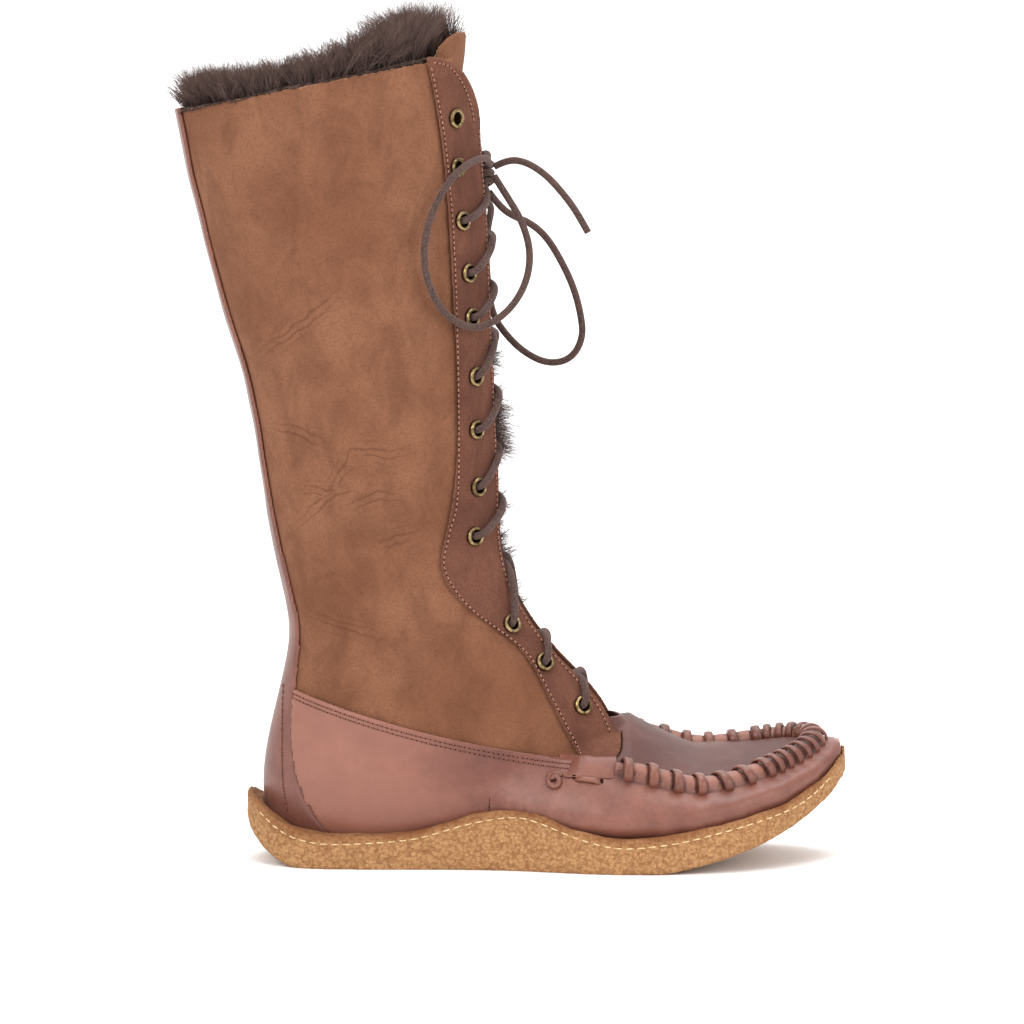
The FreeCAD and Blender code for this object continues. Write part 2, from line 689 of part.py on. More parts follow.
LOOP_LATERAL = [(-10.5, -8.5, 323.5), (-10.8, -18, 327.5), (-18.5, -32, 325.5), (-26, -42, 320),
                (-32, -46, 311.5), (-37, -49.5, 301), (-40, -51, 288.5), (-39.5, -50, 275.5),
                (-35, -46, 262.5), (-27.5, -41, 253.5), (-17, -35.5, 249), (-7, -30, 252.5), (2, -26, 261),
                (7.5, -22, 272.5), (8.5, -18.5, 285), (4.5, -14.5, 298), (-2, -11, 308.5),
                (-8.3, -8.3, 318.3)]
LOOP_MEDIAL = [(-10.5, -1, 310.5), (-5.5, 3, 303.5), (1, 8, 299), (8.5, 12, 296), (16, 15, 289.5),
               (22.5, 18, 279), (28.5, 21, 266.5), (32, 23.5, 254), (33.5, 25.5, 242), (28, 28, 231.5),
               (17, 30, 229), (5.5, 31, 234.5), (-3.5, 31.5, 243.5), (-9, 34, 252), (-11, 37, 263),
               (-12, 39, 274.5), (-12.3, 37, 285.5), (-11, 29.5, 295), (-9.8, 19.5, 300.5),
               (-9.8, 11, 304), (-12.5, 3, 308)]
END_LATERAL = [(-8, -4, 322.5), (-2, -6, 325.8), (6.5, -9, 324.8), (15.5, -11, 319), (22.5, -13, 311.5),
               (29.5, -15, 302.5), (35, -16.5, 292.5)]
END_MEDIAL = [(-12, 0.5, 324), (-10.2, 11, 328.3), (-14.5, 24, 327.5), (-21.5, 38, 324.5), (-31, 46, 315),
              (-38, 49.5, 302), (-41.5, 50.5, 286), (-41, 49.5, 269), (-39, 48, 252), (-38, 47, 236)]
for label, route in [("lace_loop_lateral", LOOP_LATERAL), ("lace_loop_medial", LOOP_MEDIAL),
                     ("lace_end_lateral", END_LATERAL), ("lace_end_medial", END_MEDIAL)]:
    cord(label, [V(*point) for point in route])

# ---------------------------------------------------------------- checks and files
doc.recompute()
for part in doc.Objects:
    if "Invalid" in part.State or "Error" in part.State:
        raise RuntimeError(part.Name + " did not recompute: " + ", ".join(part.State))
for part in NODES:
    shape = part.Shape
    if shape.isNull() or not shape.isValid() or not shape.Solids:
        raise RuntimeError(part.Label + " has no valid solid")
    print(part.Label, len(shape.Solids), round(shape.Volume), shape.BoundBox)
    shape.exportStep("parts/" + part.Label + ".step")
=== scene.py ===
import math
import random

import bmesh
import bpy
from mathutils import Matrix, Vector, kdtree, noise
from mathutils.bvhtree import BVHTree


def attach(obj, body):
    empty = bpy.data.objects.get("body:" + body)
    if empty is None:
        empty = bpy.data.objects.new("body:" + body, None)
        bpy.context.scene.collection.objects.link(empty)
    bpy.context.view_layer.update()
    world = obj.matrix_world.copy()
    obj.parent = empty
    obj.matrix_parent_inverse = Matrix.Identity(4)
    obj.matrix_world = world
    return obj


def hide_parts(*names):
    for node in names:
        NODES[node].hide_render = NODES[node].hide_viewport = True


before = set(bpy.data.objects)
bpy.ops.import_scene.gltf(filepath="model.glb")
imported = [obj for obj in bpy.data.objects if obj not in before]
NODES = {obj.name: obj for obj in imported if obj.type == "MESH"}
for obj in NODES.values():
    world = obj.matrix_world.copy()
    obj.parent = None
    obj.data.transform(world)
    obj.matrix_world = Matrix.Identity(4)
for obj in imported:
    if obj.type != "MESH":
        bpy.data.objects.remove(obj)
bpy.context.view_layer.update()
MM = 0.001
SIDES = {"lateral": -1, "medial": 1}
FAR = 0.2                      # well outside the boot
LACE = 3.3 * MM                # lace diameter
GAP = 12.5 * MM                # half the gap between the lacing flaps
LEATHER = 2.0 * MM


# ---------------------------------------------------------------- camera
def add_camera():
    data = bpy.data.cameras.new("camera")
    data.sensor_width = 36
    data.lens = 182.15
    camera = bpy.data.objects.new("camera", data)
    eye, aim = Vector((0, -2.4, 0.38)), Vector((0, 0, 0.162))
    camera.location = eye
    camera.rotation_euler = (aim - eye).to_track_quat("-Z", "Y").to_euler()
    bpy.context.scene.collection.objects.link(camera)
    bpy.context.scene.camera = camera


# ---------------------------------------------------------------- materials
def shade(red, green, blue):
    """A linear colour from 0-255 display values."""
    parts = []
    for value in (red, green, blue):
        level = value / 255
        parts.append(level / 12.92 if level <= 0.04045 else ((level + 0.055) / 1.055) ** 2.4)
    return (*parts, 1.0)


class Look:
    """One procedural material, built step by step on a Principled shader."""

    def __init__(self, name, settings):
        self.material = bpy.data.materials.new(name)
        self.material.use_nodes = True
        self.tree = self.material.node_tree
        self.shader = self.tree.nodes["Principled BSDF"]
        for socket, value in settings.items():
            self.shader.inputs[socket].default_value = value
        self.coords = self.tree.nodes.new("ShaderNodeTexCoord").outputs["Object"]
        self.normal = None

    def plug(self, source, socket):
        if isinstance(source, (int, float, tuple)):
            socket.default_value = source
        else:
            self.tree.links.new(source, socket)

    def stretched(self, scale):
        node = self.tree.nodes.new("ShaderNodeMapping")
        self.plug(self.coords, node.inputs["Vector"])
        node.inputs["Scale"].default_value = scale
        return node.outputs["Vector"]

    def noise(self, scale, detail=3.0, rough=0.55, warp=0.0, coords=None):
        node = self.tree.nodes.new("ShaderNodeTexNoise")
        self.plug(coords or self.coords, node.inputs["Vector"])
        node.inputs["Scale"].default_value = scale
        node.inputs["Detail"].default_value = detail
        node.inputs["Roughness"].default_value = rough
        node.inputs["Distortion"].default_value = warp
        return node.outputs["Fac"]

    def cells(self, scale, feature="F1", coords=None):
        node = self.tree.nodes.new("ShaderNodeTexVoronoi")
        node.feature = feature
        self.plug(coords or self.coords, node.inputs["Vector"])
        node.inputs["Scale"].default_value = scale
        return node.outputs["Distance"]

    def painted(self, name):
        node = self.tree.nodes.new("ShaderNodeAttribute")
        node.attribute_name = name
        return node.outputs["Fac"]

    def calc(self, kind, first, second=0.5, third=0.5):
        node = self.tree.nodes.new("ShaderNodeMath")
        node.operation = kind
        for socket, value in zip(node.inputs, (first, second, third)):
            self.plug(value, socket)
        return node.outputs["Value"]

    def band(self, value, low, high):
        """0 below low, 1 above high, smooth between."""
        node = self.tree.nodes.new("ShaderNodeMapRange")
        node.interpolation_type = "SMOOTHSTEP"
        self.plug(value, node.inputs["Value"])
        node.inputs["From Min"].default_value = low
        node.inputs["From Max"].default_value = high
        return node.outputs["Result"]

    def mix(self, share, first, second, blend="MIX"):
        node = self.tree.nodes.new("ShaderNodeMix")
        node.data_type = "RGBA"
        node.blend_type = blend
        self.plug(share, node.inputs[0])
        self.plug(first, node.inputs[6])
        self.plug(second, node.inputs[7])
        return node.outputs[2]

    def bump(self, height, distance, strength=1.0):
        node = self.tree.nodes.new("ShaderNodeBump")
        node.inputs["Strength"].default_value = strength
        node.inputs["Distance"].default_value = distance
        self.plug(height, node.inputs["Height"])
        if self.normal:
            self.plug(self.normal, node.inputs["Normal"])
        self.normal = node.outputs["Normal"]

    def done(self, colour, rough=None):
        self.plug(colour, self.shader.inputs["Base Color"])
        if rough is not None:
            self.plug(rough, self.shader.inputs["Roughness"])
        if self.normal:
            self.plug(self.normal, self.shader.inputs["Normal"])
        return self.material


def suede(name, light, middle, dark, edge):
    """Napped suede with soft patches, fine creases darkened with painted shade, and paler cut edges."""
    look = Look(name, {
        "Roughness": 0.95, "Specular IOR Level": 0.15, "Sheen Weight": 0.25, "Sheen Roughness": 0.6,
    })
    look.shader.inputs["Sheen Tint"].default_value = light
    patches = look.band(look.noise(16, 4, 0.6, 0.4), 0.36, 0.66)
    smears = look.band(look.noise(55, 4, 0.65, 0.8, look.stretched((1, 1, 0.6))), 0.38, 0.68)
    nap = look.noise(900, 4, 0.7)
    grain = look.noise(2600, 2, 0.6)
    colour = look.mix(patches, middle, light)
    colour = look.mix(look.calc("MULTIPLY", smears, 0.5), colour, dark)
    colour = look.mix(look.calc("MULTIPLY", look.band(nap, 0.42, 0.72), 0.55), colour, dark)
    colour = look.mix(look.calc("MULTIPLY", look.band(grain, 0.55, 0.75), 0.35), colour, light)
    from_crease = look.calc("MULTIPLY", look.painted("crease_at"), 1.9)
    phase = look.calc("MULTIPLY_ADD", look.noise(120, 2, 0.5), 9.0, from_crease)
    wave = look.calc("MULTIPLY", look.calc("SINE", phase), look.painted("crease"))
    # painted shade: the crease troughs, where the bump below dents the suede, are darkened
    colour = look.mix(look.calc("MULTIPLY", look.band(wave, 0.05, 1.0), 0.6), colour, dark)
    colour = look.mix(look.painted("edge"), colour, edge)
    look.bump(nap, 0.25 * MM, 0.8)
    look.bump(wave, 0.7 * MM, -1.0)
    return look.done(colour)


def smooth_leather(name, light, middle, dark, edge, gloss=0.40, coat=0.14):
    """Satin full-grain leather: soft patches, fine pebbled grain and a low polish."""
    look = Look(name, {
        "Specular IOR Level": 0.38, "Coat Weight": coat, "Coat Roughness": 0.32, "Sheen Weight": 0.05,
    })
    patches = look.band(look.noise(22, 4, 0.6, 0.3), 0.35, 0.65)
    clouds = look.band(look.noise(75, 5, 0.7), 0.35, 0.72)
    pores = look.cells(1500)
    fine = look.noise(700, 4, 0.65)
    colour = look.mix(patches, middle, light)
    colour = look.mix(look.calc("MULTIPLY", clouds, 0.45), colour, dark)
    colour = look.mix(look.calc("MULTIPLY", look.band(fine, 0.5, 0.75), 0.25), colour, dark)
    # pale: paler wear, and on the wrap's rolled seam a painted highlight
    colour = look.mix(look.painted("pale"), colour, edge)
    colour = look.mix(look.painted("shadow"), colour, dark)
    colour = look.mix(look.painted("edge"), colour, edge)
    look.bump(pores, 0.06 * MM, 0.5)
    look.bump(fine, 0.10 * MM, 0.6)
    look.bump(clouds, 0.25 * MM, 0.35)
    rough = look.calc("MULTIPLY_ADD", look.noise(60, 3), 0.22, gloss - 0.06)
    return look.done(colour, rough)


def crepe_rubber():
    look = Look("crepe", {"Roughness": 0.85, "Specular IOR Level": 0.25, "Subsurface Weight": 0.08})
    look.shader.inputs["Subsurface Radius"].default_value = (0.004, 0.002, 0.001)
    long_grain = look.noise(330, 7, 0.75, 1.4, look.stretched((1, 1, 1.7)))
    grit = look.noise(1500, 4, 0.7)
    pits = look.cells(620)
    colour = look.mix(look.band(long_grain, 0.36, 0.64), shade(150, 104, 66), shade(190, 146, 100))
    colour = look.mix(look.calc("MULTIPLY", look.band(grit, 0.5, 0.72), 0.45), colour, shade(206, 168, 124))
    colour = look.mix(look.calc("MULTIPLY", look.band(pits, 0.42, 0.75), 0.5), colour, shade(122, 76, 42))
    patches = look.band(look.noise(35, 4, 0.65, 0.6), 0.42, 0.68)
    rim = look.calc("MULTIPLY", look.painted("rim"), look.calc("MULTIPLY_ADD", patches, 0.45, 0.5))
    colour = look.mix(rim, colour, shade(118, 68, 38))
    look.bump(long_grain, 0.8 * MM, 0.9)
    look.bump(grit, 0.25 * MM, 0.8)
    look.bump(pits, 0.35 * MM, -0.5)
    return look.done(colour)


def wool():
    look = Look("wool", {
        "Roughness": 1.0, "Specular IOR Level": 0.1, "Sheen Weight": 0.5, "Sheen Roughness": 0.5,
    })
    look.shader.inputs["Sheen Tint"].default_value = shade(140, 115, 105)
    curls = look.noise(330, 5, 0.75, 1.5)
    colour = look.mix(look.band(curls, 0.35, 0.7), shade(48, 36, 33), shade(96, 78, 72))
    look.bump(curls, 2.0 * MM, 1.0)
    return look.done(colour)


def fur():
    """For single hairs: darker at the root, paler and warmer at the tip."""
    look = Look("fur", {"Roughness": 0.75, "Specular IOR Level": 0.25})
    along = look.painted("along")
    locks = look.band(look.noise(150, 3, 0.6), 0.35, 0.65)
    colour = look.mix(along, shade(36, 25, 23), shade(112, 88, 80))
    colour = look.mix(look.calc("MULTIPLY", look.painted("tone"), 0.55), colour, shade(52, 38, 35))
    colour = look.mix(look.calc("MULTIPLY", locks, 0.35), colour, shade(62, 47, 43))
    return look.done(colour)


def brass():
    look = Look("brass", {"Metallic": 1.0})
    worn = look.band(look.noise(420, 4, 0.6), 0.4, 0.65)
    colour = look.mix(worn, shade(160, 138, 98), shade(94, 75, 50))
    look.bump(look.noise(900, 2), 0.04 * MM, 0.5)
    return look.done(colour, look.calc("MULTIPLY_ADD", worn, 0.25, 0.26))


def lace_suede():
    look = Look("lace", {
        "Roughness": 0.95, "Specular IOR Level": 0.12, "Sheen Weight": 0.5, "Sheen Roughness": 0.5,
    })
    look.shader.inputs["Sheen Tint"].default_value = shade(170, 150, 145)
    fibres = look.noise(1300, 4, 0.7)
    patches = look.noise(130, 3, 0.6)
    colour = look.mix(look.band(fibres, 0.35, 0.7), shade(56, 41, 38), shade(98, 78, 72))
    colour = look.mix(look.calc("MULTIPLY", look.band(patches, 0.4, 0.7), 0.5), colour, shade(86, 64, 58))
    look.bump(fibres, 0.30 * MM, 0.9)
    return look.done(colour)


def thread(name, light, dark):
    look = Look(name, {"Roughness": 0.7, "Specular IOR Level": 0.3})
    twist = look.noise(1800, 2)
    look.bump(twist, 0.1 * MM, 0.8)
    return look.done(look.mix(look.band(twist, 0.4, 0.65), dark, light))


def plain_board():
    look = Look("fibre_board", {"Roughness": 0.9})
    flecks = look.noise(500, 4, 0.7)
    look.bump(flecks, 0.1 * MM, 0.5)
    return look.done(look.mix(look.band(flecks, 0.4, 0.65), shade(150, 118, 84), shade(190, 158, 118)))


# Painted shade: the dark colour of needle holes, thong holes and slits.
def painted_hole_shade():
    look = Look("needle_hole_shade", {"Roughness": 1.0, "Specular IOR Level": 0.05})
    return look.done(look.mix(look.noise(800), shade(30, 16, 12), shade(48, 26, 20)))


LOOKS = {
    "shaft": suede("shaft_suede", shade(132, 90, 67), shade(116, 75, 54), shade(91, 56, 40),
                   shade(206, 156, 124)),
    "eyestay": suede("eyestay_suede", shade(111, 72, 57), shade(96, 61, 49), shade(72, 44, 36),
                     shade(133, 91, 71)),
    "facing": suede("facing_suede", shade(110, 70, 54), shade(91, 56, 43), shade(65, 38, 31),
                    shade(170, 124, 88)),
    "wrap": smooth_leather("wrap_leather", shade(130, 81, 67), shade(110, 62, 50), shade(80, 42, 33),
                           shade(154, 103, 86)),
    "stay": smooth_leather("stay_leather", shade(124, 78, 66), shade(107, 64, 53), shade(83, 47, 38),
                           shade(145, 93, 72)),
    "plug": smooth_leather("plug_leather", shade(96, 56, 48), shade(82, 44, 37), shade(69, 34, 27),
                           shade(77, 38, 28), 0.52, 0.02),
    "thong": smooth_leather("thong_leather", shade(123, 72, 54), shade(104, 56, 42), shade(74, 36, 26),
                            shade(83, 44, 33), 0.34, 0.25),
    "crepe": crepe_rubber(),
    "wool": wool(),
    "fur": fur(),
    "brass": brass(),
    "lace": lace_suede(),
    "thread_pink": thread("thread_pink", shade(182, 134, 112), shade(136, 90, 74)),
    "thread_dark": thread("thread_dark", shade(134, 86, 70), shade(92, 54, 43)),
    "thread_pale": thread("thread_pale", shade(238, 214, 170), shade(196, 160, 110)),
    "board": plain_board(),
    "hole": painted_hole_shade(),
}


# ---------------------------------------------------------------- laces that lie free
def curve_piece(name, route, radius, material, resolution=12):
    """A round cord along a smooth NURBS line."""
    data = bpy.data.curves.new(name, "CURVE")
    data.dimensions = "3D"
    data.bevel_depth = radius
    data.bevel_resolution = 6
    data.resolution_u = resolution
    data.use_fill_caps = True
    spline = data.splines.new("NURBS")
    spline.points.add(len(route) - 1)
    for point, place in zip(spline.points, route):
        point.co = (*place, 1.0)
    spline.order_u = 3
    spline.use_endpoint_u = True
    data.materials.append(material)
    piece = bpy.data.objects.new(name, data)
    bpy.context.scene.collection.objects.link(piece)
    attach(piece, "boot")
    return piece


LOOP_LATERAL = [
    (-0.0105, -0.0085, 0.3235), (-0.0108, -0.018, 0.3275), (-0.0185, -0.032, 0.3255),
    (-0.026, -0.042, 0.320), (-0.032, -0.046, 0.3115), (-0.037, -0.0495, 0.301), (-0.040, -0.051, 0.2885),
    (-0.0395, -0.050, 0.2755), (-0.035, -0.046, 0.2625), (-0.0275, -0.041, 0.2535),
    (-0.017, -0.0355, 0.249), (-0.007, -0.030, 0.2525), (0.002, -0.026, 0.261), (0.0075, -0.022, 0.2725),
    (0.0085, -0.0185, 0.285), (0.0045, -0.0145, 0.298), (-0.002, -0.011, 0.3085),
    (-0.0083, -0.0083, 0.3183),
]
LOOP_MEDIAL = [
    (-0.0105, -0.001, 0.3105), (-0.0055, 0.003, 0.3035), (0.001, 0.008, 0.299), (0.0085, 0.012, 0.296),
    (0.016, 0.015, 0.2895), (0.0225, 0.018, 0.279), (0.0285, 0.021, 0.2665), (0.032, 0.0235, 0.254),
    (0.0335, 0.0255, 0.242), (0.028, 0.028, 0.2315), (0.017, 0.030, 0.229), (0.0055, 0.031, 0.2345),
    (-0.0035, 0.0315, 0.2435), (-0.009, 0.034, 0.252), (-0.011, 0.037, 0.263), (-0.012, 0.039, 0.2745),
    (-0.0123, 0.037, 0.2855), (-0.011, 0.0295, 0.295), (-0.0098, 0.0195, 0.3005), (-0.0098, 0.011, 0.304),
    (-0.0125, 0.003, 0.308),
]
END_LATERAL = [
    (-0.008, -0.004, 0.3225), (-0.002, -0.006, 0.3258), (0.0065, -0.009, 0.3248), (0.0155, -0.011, 0.319),
    (0.0225, -0.013, 0.3115), (0.0295, -0.015, 0.3025), (0.035, -0.0165, 0.2925),
]
END_MEDIAL = [
    (-0.012, 0.0005, 0.324), (-0.0102, 0.011, 0.3283), (-0.0145, 0.024, 0.3275), (-0.0215, 0.038, 0.3245),
    (-0.031, 0.046, 0.315), (-0.038, 0.0495, 0.302), (-0.0415, 0.0505, 0.286), (-0.041, 0.0495, 0.269),
    (-0.039, 0.048, 0.252), (-0.038, 0.047, 0.236),
]


def free_lace(node, route):
    piece = curve_piece(node + "_cord", route, LACE / 2, LOOKS["lace"])
    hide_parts(node)


add_camera()
free_lace("lace_loop_lateral", LOOP_LATERAL)
free_lace("lace_loop_medial", LOOP_MEDIAL)
free_lace("lace_end_lateral", END_LATERAL)
free_lace("lace_end_medial", END_MEDIAL)


# ---------------------------------------------------------------- mesh helpers
def new_piece(name, points, faces, material, body="boot", smooth=True):
    mesh = bpy.data.meshes.new(name)
    mesh.from_pydata(points, [], faces)
    mesh.materials.append(material)
    mesh.polygons.foreach_set("use_smooth", [smooth] * len(mesh.polygons))
    piece = bpy.data.objects.new(name, mesh)
    bpy.context.scene.collection.objects.link(piece)
    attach(piece, body)
    return piece


def tree_over(pieces):
    """A search tree over the meshes of some pieces, for finding points on their surfaces."""
    shape = bmesh.new()
    for piece in pieces:
        shape.from_mesh(piece.data)
    tree = BVHTree.FromBMesh(shape)
    shape.free()
    return tree


def tree_of(*names):
    """A search tree over CAD nodes."""
    return tree_over(NODES[name] for name in names)


def cast(tree, start, heading):
    """The first point and outward normal on the way from start; (None, None) where it misses."""
    place, normal, _, _ = tree.ray_cast(start, heading)
    if place is None:
        return None, None
    if normal.dot(heading) > 0:
        normal = -normal
    return place, normal


def side_hit(tree, x, z, side):
    """The first point and normal on the way in from one side of the boot."""
    return cast(tree, Vector((x, side * FAR, z)), Vector((0, -side, 0)))


def soft_copy(name, node, voxel, look, body="boot", relax=3):
    """An even, softened mesh of one CAD node, which it stands for."""
    piece = bpy.data.objects.new(name, NODES[node].data.copy())
    bpy.context.scene.collection.objects.link(piece)
    even = piece.modifiers.new("even", "REMESH")
    even.mode = "VOXEL"
    even.voxel_size = voxel
    soften = piece.modifiers.new("soften", "SMOOTH")
    soften.factor = 0.5
    soften.iterations = relax
    graph = bpy.context.evaluated_depsgraph_get()
    mesh = bpy.data.meshes.new_from_object(piece.evaluated_get(graph))
    piece.modifiers.clear()
    piece.data = mesh
    mesh.materials.clear()
    mesh.materials.append(LOOKS[look])
    mesh.polygons.foreach_set("use_smooth", [True] * len(mesh.polygons))
    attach(piece, body)
    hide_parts(node)
    return piece


def paint(piece, name, values):
    layer = piece.data.attributes.new(name, "FLOAT", "POINT")
    layer.data.foreach_set("value", values)


def reshape(piece, move):
    """Moves every point of a piece by the vector move(point)."""
    for vertex in piece.data.vertices:
        vertex.co += move(vertex.co)
    piece.data.update()


def mark_edges(piece, thickness, skip=None):
    """Paints the cut edges: places where the leather goes on for longer than its thickness."""
    shape = bmesh.new()
    shape.from_mesh(piece.data)
    tree = BVHTree.FromBMesh(shape)
    values = []
    for vertex in shape.verts:
        inward = -vertex.normal
        hit = tree.ray_cast(vertex.co + inward * 0.3 * MM, inward, 4 * thickness)
        cut = hit[0] is None or hit[3] > 1.7 * thickness
        values.append(0.0 if skip and skip(vertex.co) else float(cut))
    shape.free()
    paint(piece, "edge", values)


def islands(node):
    """The loose parts of a CAD node, as lists of bmesh faces' (centre, normal, area)."""
    shape = bmesh.new()
    shape.from_mesh(NODES[node].data)
    bmesh.ops.remove_doubles(shape, verts=shape.verts, dist=0.005 * MM)
    seen = set()
    parts = []
    for first in shape.verts:
        if first in seen:
            continue
        seen.add(first)
        queue, members = [first], []
        while queue:
            vertex = queue.pop()
            members.append(vertex)
            for edge in vertex.link_edges:
                other = edge.other_vert(vertex)
                if other not in seen:
                    seen.add(other)
                    queue.append(other)
        faces = {face for vertex in members for face in vertex.link_faces}
        parts.append([(face.calc_center_median(), face.normal.copy(), face.calc_area()) for face in faces])
    shape.free()
    return parts


def centre_of(part):
    whole = sum(area for _, _, area in part)
    return sum((centre * area for centre, _, area in part), Vector()) / whole


def smooth_line(points, step):
    """Points about a step apart along a Catmull-Rom line through the given ones."""
    ends = [points[0] * 2 - points[1]] + list(points) + [points[-1] * 2 - points[-2]]
    line = []
    for a, b, c, d in zip(ends, ends[1:], ends[2:], ends[3:]):
        count = max(1, round((c - b).length / step))
        for index in range(count):
            t = index / count
            line.append(0.5 * (
                2 * b + (c - a) * t + (2 * a - 5 * b + 4 * c - d) * t * t + (3 * b - a - 3 * c + d) * t ** 3
            ))
    return line + [points[-1].copy()]


# ---------------------------------------------------------------- seam lines, in side view (x, z)
def xz(points):
    return [Vector((x * MM, 0, z * MM)) for x, z in points]


WRAP_TOP = xz([(-112, 85), (-72, 72.3), (-33, 61.5), (6, 53.3), (40, 49.6)])
STAY_BACK = xz([(-39, 373), (-31.5, 330), (-27.3, 270), (-26.1, 180), (-30.3, 155), (-32.4, 139),
                (-21.1, 121), (4.2, 100), (15.7, 80.6), (30.4, 52.2)])
FEATHER = xz([(-126, 37), (-115, 26.5), (-104, 19), (-90, 15.6), (-72, 15.6), (-45, 18), (-20, 25), (0, 28.5),
              (12, 26.5), (30, 20), (48, 16), (68, 17.2), (88, 20.8), (125, 30), (140, 37), (149, 44.5),
              (158, 54)])
CREASES = [
    xz([(-119, 235), (-97, 251), (-76, 268)]),
    xz([(-103, 154), (-92, 165), (-83, 174), (-77, 184), (-69, 193)]),
    xz([(-83, 174), (-77, 184), (-72.5, 193), (-63, 194), (-55, 191), (-44, 195)]),
    xz([(-98, 176), (-84, 174), (-72, 177)]),
    xz([(-76, 167), (-69, 170), (-61, 174), (-49, 171)]),
    xz([(-111, 204), (-99, 202), (-83, 195)]),
    xz([(-61, 150), (-52, 153), (-42, 156)]),
    xz([(-96, 118), (-80, 112), (-60, 108)]),
]


def level_on(line, x):
    """The height of a side-view line at x."""
    for left, right in zip(line, line[1:]):
        if left.x <= x <= right.x:
            return left.z + (right.z - left.z) * (x - left.x) / (right.x - left.x)
    return line[0].z if x < line[0].x else line[-1].z


def flap_line(z):
    """The x of the lacing flap's back seam at a height."""
    for high, low in zip(STAY_BACK, STAY_BACK[1:]):
        if low.z <= z <= high.z:
            return low.x + (high.x - low.x) * (z - low.z) / (high.z - low.z)
    return STAY_BACK[0].x if z > STAY_BACK[0].z else STAY_BACK[-1].x


def leg_axis(z):
    """The x of the leg's middle line at a height."""
    return -0.046 - 0.142 * (z - 0.020)


def outward(point):
    return Vector((point.x - leg_axis(point.z), point.y, 0)).normalized()


def eased(value, low, high):
    share = min(1.0, max(0.0, (value - low) / (high - low)))
    return share * share * (3 - 2 * share)


def crease_near(point):
    """Signed distance to the nearest bundle of creases, in mm, and its strength there."""
    best, strength = 99.0, 0.0
    for line in CREASES:
        length = len(line) - 1
        for index, (a, b) in enumerate(zip(line, line[1:])):
            run = b - a
            away = Vector((point.x - a.x, 0, point.z - a.z))
            share = min(1.0, max(0.0, away.dot(run) / run.length_squared))
            miss = away - run * share
            distance = miss.length / MM
            if distance < abs(best):
                sign = 1 if run.x * away.z - run.z * away.x > 0 else -1
                best = sign * distance
                along = (index + share) / length
                strength = math.exp(-(distance / 5.5) ** 2) * (0.35 + 0.65 * math.sin(math.pi * along))
    return best, strength


def slump(point):
    """How far the worn leather of the shaft stands out or in."""
    hold = eased(flap_line(point.z) - point.x, 0.002, 0.022) * (0.35 + 0.65 * eased(0.372 - point.z, 0, 0.05))
    hold *= eased(point.z - level_on(WRAP_TOP, point.x), -0.01, 0.03)
    waves = 1.3 * noise.noise(point * 16) + 0.6 * noise.noise(point * 42 + Vector((3, 1, 2)))
    _, strength = crease_near(point)
    waves -= 0.9 * strength
    return waves * hold * MM


def slumped(point):
    return outward(point) * slump(point)


def paint_creases(piece):
    at, strengths = [], []
    for vertex in piece.data.vertices:
        hold = eased(flap_line(vertex.co.z) - vertex.co.x, 0.001, 0.010)
        distance, strength = crease_near(vertex.co)
        at.append(max(-30.0, min(30.0, distance)))
        strengths.append(strength * hold)
    paint(piece, "crease_at", at)
    paint(piece, "crease", strengths)


# ---------------------------------------------------------------- leather and suede shells
def top_level(x):
    """The shaft's sloping top edge."""
    return 0.3484 + (0.373 - 0.3484) / 0.1178 * (x + 0.1552)


def pile(point):
    """The lining's dense pile: bumpy all over and worn down below the leather's edge."""
    rise = slumped(point) + outward(point) * 1.2 * MM * noise.noise(point * 260)
    limit = top_level(point.x) + (-1.0 + 2.0 * noise.noise(point * 120)) * MM
    return rise + Vector((0, 0, min(0.0, limit - point.z)))


for side_name in SIDES:
    panel = soft_copy("shaft_suede_" + side_name, "shaft_panel_" + side_name, 1.05 * MM, "shaft")
    mark_edges(panel, LEATHER)
    paint_creases(panel)
    reshape(panel, slumped)
    flap = soft_copy("flap_suede_" + side_name, "eyestay_" + side_name, 0.7 * MM, "eyestay")
    mark_edges(flap, LEATHER)
    facing = soft_copy("facing_suede_" + side_name, "facing_lining_" + side_name, 0.7 * MM, "facing")
    mark_edges(facing, LEATHER)
    lining = soft_copy("wool_backing_" + side_name, "wool_lining_" + side_name, 2.0 * MM, "wool",
                       relax=2)
    reshape(lining, pile)
    inner = soft_copy("foot_wool_" + side_name, "foot_lining_" + side_name, 2.0 * MM, "wool",
                      relax=2)
    reshape(inner, lambda p: Vector((0, 0, 0.8 * MM * noise.noise(p * 260))))

stay = soft_copy("heel_and_back_stay", "back_stay", 0.8 * MM, "stay")
mark_edges(stay, LEATHER)
reshape(stay, slumped)

bed = soft_copy("footbed_wool", "shearling_footbed", 2.0 * MM, "wool", relax=2)
reshape(bed, lambda p: Vector((0, 0, 1.0 * MM * noise.noise(p * 240))))

tongue = soft_copy("tongue_suede", "tongue", 0.8 * MM, "shaft", body="tongue_flap")
mark_edges(tongue, LEATHER)
tongue_back = soft_copy("tongue_pile", "tongue_wool", 1.8 * MM, "wool", body="tongue_flap",
                        relax=2)
reshape(tongue_back, lambda p: Vector((-1.0 * MM * noise.noise(p * 260), 0, 0)))
for hidden in ("insole_board", "heel_stiffener"):
    NODES[hidden].data.materials.clear()
    NODES[hidden].data.materials.append(LOOKS["board"])


